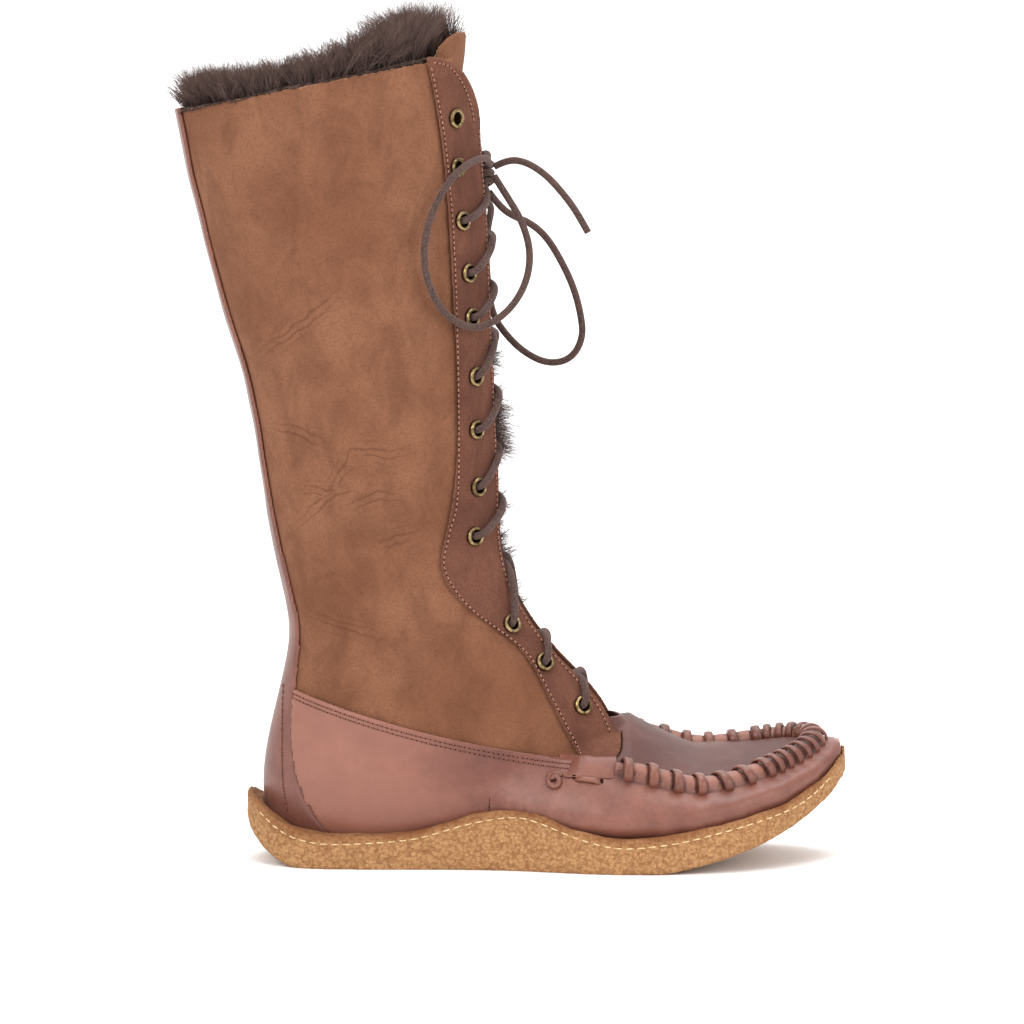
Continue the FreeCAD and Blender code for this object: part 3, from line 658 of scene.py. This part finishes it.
# ---------------------------------------------------------------- rolled seam, its stitches and the wrap
RIDGE = 4.4 * MM
BAND_REACH = RIDGE + 0.9 * MM
stitch_centres = [centre_of(part) for part in islands("whip_stitch_thong")]
stitch_centres.sort(key=lambda p: math.atan2(p.y, p.x - 0.075))
ridge_line = []
for index, place in enumerate(stitch_centres):
    before = stitch_centres[max(0, index - 1)]
    after = stitch_centres[min(len(stitch_centres) - 1, index + 1)]
    along = (after - before).normalized()
    up = (Vector((0, 0, 1)) - along * along.z).normalized()
    out = along.cross(up).normalized()
    ridge_line.append((place - up * (RIDGE + 0.7 * MM), along, up, out))
ridge_samples = smooth_line([place for place, _, _, _ in ridge_line], 1 * MM)
ridge_tree = kdtree.KDTree(len(ridge_samples))
for index, place in enumerate(ridge_samples):
    ridge_tree.insert(place, index)
ridge_tree.balance()
stitch_tree = kdtree.KDTree(len(ridge_line))
for index, (place, _, _, _) in enumerate(ridge_line):
    stitch_tree.insert(place, index)
stitch_tree.balance()


def band_shapes():
    """Half slant and width of the leather band at each stitch."""
    dice = random.Random(5)
    shapes = []
    for place, _, _, _ in ridge_line:
        toe = place.x > 0.118
        slant = dice.uniform(1.2, 2.6) * MM * (0.6 if toe else 1.0)
        shapes.append((slant, (3.2 if toe else 4.3) * MM * dice.uniform(0.93, 1.07)))
    return shapes


BANDS = band_shapes()
BAND_LOW, BAND_HIGH = -58, 196     # degrees round the seam, from its outer side up and over


def band_mark(point):
    """How far a point of the rolled seam lies beside the nearest band, and in its thin shadow."""
    core, _, _ = ridge_tree.find(point)
    _, index, _ = stitch_tree.find(core)
    place, along, up, out = ridge_line[index]
    slant, width = BANDS[index]
    away = point - core
    turn = math.degrees(math.atan2(away.dot(up), away.dot(out)))
    share = min(1.0, max(0.0, (turn - BAND_LOW) / (BAND_HIGH - BAND_LOW)))
    beside = abs((core - place).dot(along) - slant * (1 - 2 * share))
    shadow = math.exp(-((beside - width / 2 - 0.3 * MM) / (0.6 * MM)) ** 2)
    return eased(beside, width / 2, width / 2 + 1.5 * MM), shadow


def seam_gather(point):
    """Pinches the rolled seam under each stitch and puffs it between them."""
    core, _, miss = ridge_tree.find(point)
    if miss > 0.016:
        return Vector()
    _, index, _ = stitch_tree.find(core)
    place, along, _, out = ridge_line[index]
    beside = abs((core - place).dot(along)) / MM
    pinch = math.exp(-(beside / 1.9) ** 2)
    away = point - core
    if miss < RIDGE * 1.35:
        puff = (0.55 * (1 - pinch) - 0.75 * pinch) * eased(miss, 0.4 * RIDGE, 0.95 * RIDGE)
        return away.normalized() * puff * MM
    below = eased(0.016 - miss, 0, 0.009)
    return (out * -0.55 * pinch + Vector((0, 0, -0.25 * pinch))) * below * MM


def heel_dent(point):
    """A long soft hollow in the wrap's side behind the instep."""
    under = level_on(WRAP_TOP, point.x) - point.z
    reach = eased(point.x, -0.100, -0.070) * eased(0.010 - point.x, 0, 0.045)
    depth = math.exp(-((under - 0.016) / 0.007) ** 2) * reach
    waves = 0.5 * noise.noise(point * 30) + 0.25 * noise.noise(point * 70)
    inward = Vector((0, -math.copysign(1, point.y), 0))
    return inward * (1.3 * depth - waves * eased(under, 0, 0.01)) * MM


wrap = soft_copy("wrap_leather", "moccasin_wrap", 0.85 * MM, "wrap", relax=2)


WRAP_SHELL = tree_of("moccasin_wrap")


def even_side(point):
    """Draws the outer wall under the instep to its average over 32 mm, which evens out its bends."""
    hold = eased(point.x, -0.034, -0.018) * eased(0.050 - point.x, 0, 0.014)
    hold *= eased(ridge_tree.find(point)[2], 0.009, 0.016)
    side = math.copysign(1, point.y)
    if hold == 0 or abs(point.y) < 0.020:
        return Vector()
    here, _ = side_hit(WRAP_SHELL, point.x, point.z, side)
    if here is None or abs(here.y - point.y) > 1.2 * MM:
        return Vector()
    widths = []
    for step in range(-4, 5):
        shift = 0.004 * step
        hit, _ = side_hit(WRAP_SHELL, point.x + shift, point.z - 0.18 * shift, side)
        if hit:
            widths.append(hit.y)
    if len(widths) < 9:
        return Vector()
    return Vector((0, (sum(widths) / 9 - point.y) * hold, 0))


def near_ridge(point):
    return ridge_tree.find(point)[2] < 0.009


mark_edges(wrap, LEATHER, skip=near_ridge)
shadows, pale = [], []
for vertex in wrap.data.vertices:
    core, _, miss = ridge_tree.find(vertex.co)
    fold = math.exp(-((miss - RIDGE * 1.22) / (1.1 * MM)) ** 2) if vertex.co.z < core.z + 1.5 * MM else 0.0
    clear, shadow = band_mark(vertex.co) if miss < RIDGE * 1.3 else (0.0, 0.0)
    shadows.append(min(1.0, 0.8 * fold + 0.8 * shadow))
    # pale: wear makes the back of the wrap paler; the rolled seam between the bands is painted paler as a
    # painted highlight
    worn = 0.55 * eased(-0.005 - vertex.co.x, 0, 0.060)
    pale.append(max(worn, 0.5 * clear * eased(RIDGE * 1.3 - miss, 0, 1.2 * MM) * (1 - shadow)))
paint(wrap, "shadow", shadows)
paint(wrap, "pale", pale)
reshape(wrap, even_side)
reshape(wrap, lambda p: seam_gather(p) + heel_dent(p) * eased(ridge_tree.find(p)[2], 0.008, 0.020))
plug = soft_copy("plug_leather", "toe_plug", 0.7 * MM, "plug", relax=3)
paint(plug, "shadow", [
    0.8 * math.exp(-((ridge_tree.find(v.co)[2] - RIDGE) / (1.6 * MM)) ** 2) for v in plug.data.vertices
])
reshape(plug, lambda p: Vector((0, 0, (0.5 * noise.noise(p * 45) + 0.2 * noise.noise(p * 110)) * MM)))


def strip(points, normals, width, thick, name_points, name_faces):
    """Adds a flat rounded band along a line of points to lists of points and faces."""
    base = len(name_points)
    profile = [(-0.5, 0.0), (-0.42, 0.75), (-0.2, 1.0), (0.2, 1.0), (0.42, 0.75), (0.5, 0.0), (0.3, -0.3),
               (-0.3, -0.3)]
    count = len(profile)
    for index, (place, normal) in enumerate(zip(points, normals)):
        before = points[max(0, index - 1)]
        after = points[min(len(points) - 1, index + 1)]
        across = (after - before).cross(normal).normalized()
        for side_share, rise in profile:
            name_points.append(place + across * side_share * width + normal * rise * thick)
    for index in range(len(points) - 1):
        row = base + index * count
        for k in range(count):
            other = (k + 1) % count
            name_faces.append((row + k, row + other, row + count + other, row + count + k))
    name_faces.append(tuple(base + k for k in reversed(range(count))))
    name_faces.append(tuple(base + (len(points) - 1) * count + k for k in range(count)))


def whip_bands():
    """One flat leather band over the rolled seam at each stitch, and dark patches of painted shade at its two
    slits.
    """
    points, faces, slit_shade_points, slit_shade_faces = [], [], [], []
    for (place, along, up, out), (slant, width) in zip(ridge_line, BANDS):
        line, normals = [], []
        for step in range(17):
            share = step / 16
            angle = math.radians(BAND_LOW + (BAND_HIGH - BAND_LOW) * share)
            radial = out * math.cos(angle) + up * math.sin(angle)
            sink = 1.1 * MM * (max(0.0, 0.12 - share) + max(0.0, share - 0.88)) / 0.12
            reach = BAND_REACH + 0.8 * MM * math.cos(angle) ** 2 * (1 if angle < 1.57 else 0.2) - sink
            line.append(place + radial * reach + along * slant * (1 - 2 * share))
            normals.append(radial)
        strip(line, normals, width, 1.0 * MM, points, faces)
        # painted shade: a dark patch where the band goes into each slit
        for end in (0, -1):
            slit_shade = [line[end] + along * share * width * 0.55 for share in (-1, 0, 1)]
            strip(slit_shade, [normals[end]] * 3, 2.6 * MM, 0.5 * MM, slit_shade_points, slit_shade_faces)
    bands = new_piece("whip_stitch_bands", points, faces, LOOKS["thong"])
    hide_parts("whip_stitch_thong")
    new_piece("whip_stitch_slit_shade", slit_shade_points, slit_shade_faces, LOOKS["hole"])


whip_bands()

WRAP_TREE = tree_over((wrap, stay, plug))
FLAP_TREE = tree_of("eyestay_lateral", "eyestay_medial")


def outermost(tree, x, z, side):
    """The widest of three hits round a height, or the first surface below where none of them hits."""
    hits = [side_hit(tree, x, z + dz * MM, side) for dz in (-0.7, 0, 0.7)]
    found = [pair for pair in hits if pair[0]]
    while not found:
        z -= 0.8 * MM
        pair = side_hit(tree, x, z, side)
        found = [pair] if pair[0] else []
    return max(found, key=lambda pair: pair[0].y * side)


def wrap_lap():
    """The wrap's top edge, running on over the lower end of each lacing flap."""
    rises = (0.0, 1.7, 1.9, 1.8, 1.5, 1.0, 0.4, -0.4)
    rows = len(rises)
    columns = 25
    tree = tree_of("moccasin_wrap", "eyestay_lateral", "eyestay_medial", "shaft_panel_lateral",
                   "shaft_panel_medial")
    for side_name, side in SIDES.items():
        points, faces = [], []
        for column in range(columns + 1):
            x = (22 + 26 * column / columns) * MM
            swell = eased(x, 0.022, 0.031)
            wave = 0.4 * noise.noise(Vector((x * 300, side, 0)))
            high = level_on(WRAP_TOP, x) + (0.8 + 1.2 * eased(x, 0.026, 0.034) + wave) * MM
            low = high - 8.5 * MM
            high_hit, high_normal = outermost(tree, x, high, side)
            low_hit, low_normal = outermost(tree, x, low, side)
            for row, rise in enumerate(rises):
                share = row / (rows - 1)
                width = high_hit.y + (low_hit.y - high_hit.y) * share
                normal = high_normal.lerp(low_normal, share).normalized()
                place = Vector((x, width, high + (low - high) * share))
                points.append(place + normal * (rise * swell - 0.25 * (1 - swell)) * MM)
        for column in range(columns):
            for row in range(rows - 1):
                a = column * rows + row
                quad = (a, a + 1, a + rows + 1, a + rows)
                faces.append(quad if side < 0 else quad[::-1])
        new_piece("wrap_lap_" + side_name, points, faces, LOOKS["wrap"])


wrap_lap()


BUTTON = xz([(19.8, 41.1)])[0]
RUNNING_STITCH = xz([(28.8, 42.4), (41.0, 41.0)])
THONG_HOLES = xz([(28.6, 42.5), (41.2, 40.9)])


def thong_knots():
    for side_name, side in SIDES.items():
        points, faces = [], []
        line, normals = [], []
        for step in range(26):
            turn = step / 25
            angle = turn * math.radians(500) + 0.6
            radius = (3.7 - 2.6 * turn) * MM
            x = BUTTON.x + radius * math.cos(angle)
            z = BUTTON.z + radius * math.sin(angle)
            place, normal = side_hit(WRAP_TREE, x, z, side)
            line.append(place + normal * (0.3 + 1.0 * turn) * MM)
            normals.append(normal)
        strip(line, normals, 2.6 * MM, 1.3 * MM, points, faces)
        line, normals = [], []
        for step in range(9):
            share = step / 8
            start = RUNNING_STITCH[0].lerp(RUNNING_STITCH[1], share)
            place, normal = side_hit(WRAP_TREE, start.x, start.z, side)
            rise = 1.0 - 1.9 * (2 * share - 1) ** 4
            line.append(place + normal * rise * 0.9 * MM)
            normals.append(normal)
        strip(line, normals, 2.8 * MM, 1.0 * MM, points, faces)
        knot = new_piece("thong_button_" + side_name, points, faces, LOOKS["thong"])
        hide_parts("thong_knot_" + side_name)
        # painted shade: a dark mark for each thong hole
        hole_shades, hole_shade_faces = [], []
        for hole in THONG_HOLES:
            place, normal = side_hit(WRAP_TREE, hole.x, hole.z, side)
            rows = [place + Vector((0, 0, dz * MM)) + normal * 0.15 * MM for dz in (-1.6, 0, 1.6)]
            strip(rows, [normal] * 3, 1.5 * MM, 0.25 * MM, hole_shades, hole_shade_faces)
        new_piece("thong_hole_shade_" + side_name, hole_shades, hole_shade_faces, LOOKS["hole"])


thong_knots()


# ---------------------------------------------------------------- crepe sole
sole = soft_copy("crepe_sole", "crepe_outsole", 1.2 * MM, "crepe", relax=2)


def crepe_skin(point):
    bumps = 0.45 * noise.noise(point * 130) + 0.3 * noise.noise(point * 330) + 0.5 * noise.noise(point * 40)
    if point.z < 1.5 * MM:
        return Vector((0, 0, 0))
    direction = Vector((point.x / 0.14, point.y / 0.05, 0)).normalized()
    edge = eased(point.z - level_on(FEATHER, point.x), -0.006, 0.0)
    lift = Vector((0, 0, edge * 0.8 * noise.noise(point * 90) * MM))
    return direction * bumps * MM + lift


rims = []
for vertex in sole.data.vertices:
    depth = (level_on(FEATHER, vertex.co.x) - vertex.co.z) / MM
    wide = 7.0 if vertex.co.x < -0.10 else 3.4
    rims.append(min(1.0, max(0.0, 1.25 - abs(depth) / wide)) if vertex.co.z > 8 * MM else 0.0)
paint(sole, "rim", rims)
reshape(sole, crepe_skin)
SOLE_TREE = tree_of("crepe_outsole")


# ---------------------------------------------------------------- stitching
def side_path(line, side, tree, step, start=-1.0, stop=1.0):
    """Points and normals on a side of the boot along a side-view line, between two values of x."""
    path = []
    for place in smooth_line(line, step):
        if not start < place.x < stop:
            continue
        hit, normal = side_hit(tree, place.x, place.z, side)
        if hit is not None and (hit.y * side) > 0.001:
            path.append((hit, normal))
    return path


# A stitch from end to end: place along it, girth and height.
STITCH_SHAPE = ((-0.5, 0.30, -0.5), (-0.38, 0.85, 0.1), (0, 1.0, 0.35), (0.38, 0.85, 0.1), (0.5, 0.30, -0.5))


def sew(name, paths, pitch, length, width, look, hole_shades=True, rise=0.25):
    """Rows of short stitches, with a dark disc of painted shade for the needle hole at each end."""
    points, faces, hole_shade_points, hole_shade_faces = [], [], [], []
    for path in paths:
        travelled = pitch / 2
        walked = 0.0
        for (here, normal), (there, _) in zip(path, path[1:]):
            run = there - here
            gap = run.length
            while gap > 0 and travelled <= walked + gap:
                middle = here + run * ((travelled - walked) / gap)
                heading = run.normalized()
                across = heading.cross(normal).normalized()
                base = len(points)
                for along_share, girth, lift in STITCH_SHAPE:
                    core = middle + heading * along_share * length + normal * (rise * MM + lift * width * 0.5)
                    for k in range(6):
                        angle = k * math.pi / 3
                        ray = across * math.cos(angle) + normal * math.sin(angle)
                        points.append(core + ray * girth * width / 2)
                for row in range(4):
                    for k in range(6):
                        other = (k + 1) % 6
                        a = base + row * 6
                        faces.append((a + k, a + other, a + 6 + other, a + 6 + k))
                faces.append(tuple(base + k for k in reversed(range(6))))
                faces.append(tuple(base + 24 + k for k in range(6)))
                # painted shade: a small dark disc stands for the shade in each needle hole
                if hole_shades:
                    centre = middle + heading * pitch * 0.5 + normal * 0.06 * MM
                    start = len(hole_shade_points)
                    for k in range(8):
                        angle = k * math.pi / 4
                        ring = heading * math.cos(angle) + across * math.sin(angle)
                        hole_shade_points.append(centre + ring * width * 0.62)
                    hole_shade_points.append(centre + normal * 0.12 * MM)
                    hole_shade_faces += [(start + k, start + (k + 1) % 8, start + 8) for k in range(8)]
                travelled += pitch
            walked += gap
    new_piece(name, points, faces, LOOKS[look])
    if hole_shades:
        new_piece(name + "_hole_shade", hole_shade_points, hole_shade_faces, LOOKS["hole"])


def moved(line, dx, dz):
    return [place + Vector((dx * MM, 0, dz * MM)) for place in line]


STAY_SEAM = moved(xz([(-38.2, 368.5)]) + STAY_BACK[1:], 1.5, 0)
COUNTER_SEAM = xz([(-106.3, 83), (-106.6, 60), (-106.2, 38), (-104, 24)])
FLAP_TOP = xz([(-36, 370.5), (-31, 369.6), (-27, 367), (-22.5, 360.5), (-19, 351), (-17.6, 343)])


def front_hit(y, z):
    """The first point and normal of a lacing flap on the way in from the toe."""
    return cast(FLAP_TREE, Vector((FAR, y, z)), Vector((-1, 0, 0)))


def front_row(side, inset):
    """The stitch row just behind the flap's front edge."""
    path = []
    z = 0.340
    while z > 0.058:
        hit, normal = front_hit(side * (GAP + inset), z)
        if hit is not None:
            path.append((hit, normal))
        z -= 2 * MM
    return path


flap_paths, wrap_paths, counter_paths, sole_paths = [], [], [], []
for side in SIDES.values():
    flap_paths.append(side_path(STAY_SEAM, side, FLAP_TREE, 2 * MM))
    flap_paths.append(side_path(FLAP_TOP, side, FLAP_TREE, 2 * MM))
    flap_paths.append(front_row(side, 2.6 * MM))
    wrap_paths.append(side_path(moved(WRAP_TOP, 0, -2.4), side, WRAP_TREE, 2 * MM, start=-0.103))
    wrap_paths.append(side_path(moved(WRAP_TOP, 0, -4.4), side, WRAP_TREE, 2 * MM, start=-0.103))
    counter_paths.append(side_path(COUNTER_SEAM, side, WRAP_TREE, 2 * MM))
    sole_row = moved(FEATHER, 0, -3.6)
    sole_paths.append(side_path(sole_row, side, SOLE_TREE, 3 * MM, start=-0.118, stop=0.148))
sew("flap_stitches", flap_paths, 2.5 * MM, 1.6 * MM, 0.65 * MM, "thread_pink")
sew("wrap_stitches", wrap_paths, 2.3 * MM, 1.1 * MM, 0.6 * MM, "thread_dark")
sew("counter_stitches", counter_paths, 3.0 * MM, 2.0 * MM, 0.6 * MM, "thread_dark")
sew("sole_stitches", sole_paths, 5.2 * MM, 3.5 * MM, 0.65 * MM, "thread_pale",
    hole_shades=False, rise=0.3)


# ---------------------------------------------------------------- brass eyelets
EYELET_CLEAR = 5.2 * MM        # just past an eyelet's flange


def eyelet_frames(side_name, side):
    """Centre and outward axis of every eyelet of one flap, from the lowest up."""
    frames = []
    for part in islands("eyelets_" + side_name):
        centre = centre_of(part)
        _, guess = side_hit(FLAP_TREE, centre.x, centre.z + EYELET_CLEAR, side)
        flat = [(normal, area) for _, normal, area in part if normal.dot(guess) > 0.93]
        axis = sum((normal * area for normal, area in flat), Vector()).normalized()
        frames.append((centre, axis))
    return sorted(frames, key=lambda item: item[0].z)


EYELETS = {side: eyelet_frames(name, side) for name, side in SIDES.items()}


def eyelet_rings():
    """Rolled brass rings turned about each eyelet's axis."""
    profile = [(2.75, -3.2), (2.75, 2.9), (2.85, 3.35), (3.15, 3.72), (3.6, 3.82), (4.05, 3.68), (4.4, 3.3),
               (4.52, 2.85), (4.45, 2.45), (3.5, 2.3), (3.4, -2.2), (4.1, -2.4), (4.0, -3.1)]
    turns = 40
    for side_name, side in SIDES.items():
        points, faces = [], []
        for centre, axis in EYELETS[side]:
            turn = axis.to_track_quat("Z", "X").to_matrix()
            base = len(points)
            count = len(profile)
            for step in range(turns):
                angle = 2 * math.pi * step / turns
                for radius, level in profile:
                    local = Vector((radius * math.cos(angle), radius * math.sin(angle), level)) * MM
                    points.append(centre + turn @ local)
            for step in range(turns):
                row = base + step * count
                after = base + ((step + 1) % turns) * count
                for k in range(count):
                    other = (k + 1) % count
                    faces.append((row + k, after + k, after + other, row + other))
        rings = new_piece("eyelet_rings_" + side_name, points, faces, LOOKS["brass"])
        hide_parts("eyelets_" + side_name)


eyelet_rings()

# ---------------------------------------------------------------- laced strands and bow knot
OUTER_RUN = 2.2 * MM + LACE / 2
INNER_RUN = 2.0 * MM + LACE / 2
LACED = 10
KNOT = Vector((-12.5, -4, 318.5)) * MM


def front_point(y, z, rise):
    """A point over the flaps' front, rise above the shaft panels' surface; midway it spans the gap."""
    side = -1 if y < 0 else 1
    edge = max(abs(y), GAP + 1.2 * MM)
    hit, normal = front_hit(side * edge, z)
    bulge = 2.7 * MM * (1 - (abs(y) / edge) ** 2)
    if abs(y) < GAP:
        normal = Vector((normal.x, normal.y * abs(y) / edge, normal.z)).normalized()
    return Vector((hit.x + bulge, y, z)) + normal * (rise - 2.2 * MM)


def crossing(side, step, over):
    here, here_axis = EYELETS[side][step]
    there, there_axis = EYELETS[-side][step + 1]
    climb = there.z - here.z
    middle = -1.0 * MM + over * (LACE / 2 + 0.35 * MM)
    points = [here + here_axis * (OUTER_RUN + 2.8 * MM)]
    if abs(here.y) > GAP + 13 * MM:
        half_way = side * (abs(here.y) + GAP) / 2
        points.append(front_point(half_way, here.z + 0.31 * climb, OUTER_RUN + 1.9 * MM))
    points.append(front_point(side * GAP, here.z + 0.62 * climb, OUTER_RUN + 1.3 * MM))
    points.append(front_point(0, here.z + 0.75 * climb, middle - 1.0 * MM))
    points.append(front_point(-side * (GAP - 1.5 * MM), here.z + 0.82 * climb, -INNER_RUN - 0.9 * MM))
    points.append(there - there_axis * (INNER_RUN + 1.4 * MM))
    return points


def laced_half(side, over):
    first, axis = EYELETS[side][0]
    points = [first - axis * (INNER_RUN + 1.4 * MM)]
    for step in range(LACED - 1):
        points += crossing(side, step, over)
        side = -side
    last, axis = EYELETS[side][LACED - 1]
    points.append(last + axis * (OUTER_RUN + 2.8 * MM))
    points.append(front_point(side * (GAP + 1 * MM), 0.307, OUTER_RUN + 1.4 * MM))
    points.append(KNOT + Vector((-0.5, side * 4.4, -5.0)) * MM)
    return points


def laces():
    bar = [front_point(y * MM, 0.0735, -INNER_RUN - 1.6 * MM) for y in (9, 0, -9)]
    route = list(reversed(laced_half(1, 1))) + bar + laced_half(-1, -1)
    strands = curve_piece("laced_suede", route, LACE / 2, LOOKS["lace"], resolution=6)
    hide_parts("laced_strands")
    turns = []
    for step in range(40):
        share = step / 39
        angle = share * math.radians(1010) - 0.6
        girth = 3.0 * MM + 0.5 * MM * math.sin(3 * angle)
        turns.append(KNOT + Vector((
            girth * math.cos(angle) * 0.95, girth * math.sin(angle) * 1.15,
            (4.4 - 10.8 * share) * MM + 1.2 * MM * math.cos(angle),
        )))
    knot = curve_piece("bow_knot_turns", turns, LACE / 2, LOOKS["lace"], resolution=4)
    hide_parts("bow_knot")


laces()


# ---------------------------------------------------------------- fur
WIDEST = 64 * MM               # hairs that lean out past this are drawn in


def grow(name, clumps, body, seed, hairs=13, width=0.42, curl=1.0, gather=0.55):
    """Pointed locks of fine tapering hairs: each clump is (root, direction, length, spread)."""
    dice = random.Random(seed)
    points, faces, along, tones = [], [], [], []
    segments = 5
    for root, heading, length, spread in clumps:
        side_a = heading.orthogonal().normalized()
        side_b = heading.cross(side_a).normalized()
        bend = (side_a * dice.gauss(0, 1) + side_b * dice.gauss(0, 1)) * 0.24
        tone = dice.random()
        for _ in range(hairs):
            offset = (side_a * dice.gauss(0, 1) + side_b * dice.gauss(0, 1)) * spread
            aim = heading + side_a * dice.gauss(0, 0.10) + side_b * dice.gauss(0, 0.10) + bend * 0.5
            aim.normalize()
            reach = length * dice.uniform(0.7, 1.06)
            wave = dice.uniform(0, 6.28)
            flat = aim.cross(Vector((dice.gauss(0, 0.5), 1, dice.gauss(0, 0.5)))).normalized()
            base = len(points)
            for index in range(segments + 1):
                share = index / segments
                drift = bend * share * share * reach
                kink = side_a * math.sin(wave + 9 * share) + side_b * math.cos(wave * 1.7 + 8 * share)
                core = root + offset * (1 - gather * share) + aim * reach * share
                core += drift + kink * share * curl * 0.9 * MM
                core.y -= math.copysign(max(0.0, abs(core.y) - WIDEST) * 0.7, core.y)
                half = width * MM * 0.5 * (1 - 0.85 * share)
                points += [core - flat * half, core + flat * half]
                along += [share, share]
                tones += [tone, tone]
            for index in range(segments):
                a = base + 2 * index
                faces.append((a, a + 1, a + 3, a + 2))
    piece = new_piece(name, points, faces, LOOKS["fur"], body)
    paint(piece, "along", along)
    paint(piece, "tone", tones)
    return piece


def rim_point(angle, depth, z):
    """A point in the shearling near the shaft's mouth."""
    middle = leg_axis(z) + 0.001
    front, back, half = 0.0765, 0.0612, 0.0570
    reach = (front if math.cos(angle) > 0 else back) - depth
    return Vector((middle + reach * math.cos(angle), (half - depth) * math.sin(angle), z))


def rim_fur():
    """The pile standing above the shaft's top edge, longest in front and shortest half way."""
    dice = random.Random(11)
    clumps = []
    for _ in range(1640):
        angle = dice.uniform(0.30, 2 * math.pi - 0.30)
        depth = dice.uniform(3.6, 10.5) * MM
        guess = rim_point(angle, depth, 0.365)
        if guess.y < 0 and guess.x > -0.042:
            continue
        level = top_level(guess.x)
        root = rim_point(angle, depth, level - dice.uniform(1, 4) * MM)
        rise = 13.0 + 3.0 * eased(-0.105 - root.x, 0, 0.040) + 9.0 * eased(root.x, -0.105, -0.050)
        length = (rise + 3.5) * MM * (0.62 + 0.5 * dice.random() ** 1.5)
        out = outward(root)
        heading = Vector((0, 0, 1)) + out * dice.uniform(-0.30, 0.25)
        lean = 0.25 * eased(root.x, -0.060, -0.040)
        heading += Vector((dice.gauss(0, 0.17) - lean, dice.gauss(0, 0.17), 0))
        clumps.append((root, heading.normalized(), length, 1.15 * MM))
    grow("rim_fur", clumps, "boot", 3, hairs=12, width=0.5, curl=1.1, gather=0.9)


def inside_fur():
    dice = random.Random(12)
    clumps = []
    for _ in range(900):
        angle = dice.uniform(0.45, 2 * math.pi - 0.45)
        z = 0.372 - 0.11 * dice.random() ** 1.6
        root = rim_point(angle, 9.5 * MM, z)
        root.x = leg_axis(z) + (root.x - leg_axis(z)) * (0.9 + 0.1 * (z - 0.25) / 0.12)
        heading = Vector((dice.gauss(0, 0.3), dice.gauss(0, 0.3), dice.gauss(0.35, 0.3))) - outward(root)
        heading.normalize()
        if root.z < top_level(root.x):
            clumps.append((root, heading, dice.uniform(6, 9) * MM, 1.4 * MM))
    grow("inside_fur", clumps, "boot", 4, hairs=12, width=0.5)


def tongue_fur():
    """The pile behind the tongue's top edge, highest at the back."""
    dice = random.Random(13)
    clumps = []
    for _ in range(330):
        y = dice.uniform(-20, 20) * MM
        root = Vector((-0.0350 - 5.5 * y * y - dice.uniform(0, 14) * MM, y, 0.372))
        tip = 0.381 + 0.017 * eased(-0.033 - root.x, 0, 0.010)
        heading = Vector((dice.gauss(-0.20, 0.08), dice.gauss(0, 0.2), 1)).normalized()
        clumps.append((root, heading, (tip - root.z) * dice.uniform(0.75, 1.05), 1.0 * MM))
    grow("tongue_fur", clumps, "tongue_flap", 5, hairs=12, width=0.36)


def gap_fur():
    """Tufts that push forward between the lacing flaps."""
    dice = random.Random(14)
    clumps = []
    for low, high, count, length in ((0.228, 0.242, 44, 15), (0.192, 0.214, 110, 19), (0.138, 0.171, 80, 16),
                                     (0.117, 0.131, 44, 14), (0.245, 0.330, 30, 8), (0.09, 0.115, 24, 9)):
        for _ in range(count):
            z = dice.uniform(low, high)
            side = dice.choice((-1, 1))
            y = side * dice.uniform(5.5, 11.5) * MM
            root = front_point(y, z, -9 * MM)
            heading = Vector((1, dice.gauss(-0.15 * side, 0.25), dice.gauss(0.1, 0.35))).normalized()
            clumps.append((root, heading, length * MM * dice.uniform(0.7, 1.1), 0.9 * MM))
    grow("gap_fur", clumps, "boot", 6, hairs=11)


rim_fur()
inside_fur()
tongue_fur()
gap_fur()


# ---------------------------------------------------------------- studio
def studio():
    """A pale seamless floor and soft lights."""
    floor_look = Look("studio_floor", {"Roughness": 0.9, "Specular IOR Level": 0.1})
    tint = floor_look.mix(floor_look.noise(3), (0.93, 0.93, 0.93, 1), (0.95, 0.95, 0.95, 1))
    material = floor_look.done(tint)
    mesh = bpy.data.meshes.new("floor")
    profile = [(-3.0, 0.0), (1.6, 0.0), (2.1, 0.06), (2.5, 0.35), (2.65, 0.9), (2.7, 3.0)]
    points = [(x, y, z) for y, z in profile for x in (-4, 4)]
    faces = [(2 * k, 2 * k + 1, 2 * k + 3, 2 * k + 2) for k in range(len(profile) - 1)]
    mesh.from_pydata(points, [], faces)
    mesh.materials.append(material)
    floor = bpy.data.objects.new("studio_floor", mesh)
    bpy.context.scene.collection.objects.link(floor)
    lights = [
        ("key", (-1.3, -2.2, 1.7), 1.5, 36),
        ("fill", (1.8, -1.8, 1.1), 1.6, 22),
        ("top", (0.1, -0.2, 2.3), 2.0, 26),
        ("backdrop", (0.0, 1.0, 2.4), 2.4, 30),
    ]
    for name, place, size, power in lights:
        data = bpy.data.lights.new(name, "AREA")
        data.shape = "DISK"
        data.size = size
        data.energy = power
        light = bpy.data.objects.new(name, data)
        light.location = place
        aim = Vector((0, 0, 0.18)) if name != "backdrop" else Vector((0, 2.4, 0.3))
        light.rotation_euler = (aim - Vector(place)).to_track_quat("-Z", "Y").to_euler()
        bpy.context.scene.collection.objects.link(light)
    world = bpy.data.worlds.new("studio")
    world.use_nodes = True
    world.node_tree.nodes["Background"].inputs["Color"].default_value = (1, 1, 1, 1)
    world.node_tree.nodes["Background"].inputs["Strength"].default_value = 0.85
    bpy.context.scene.world = world
    bpy.context.scene.view_settings.view_transform = "Standard"


studio()
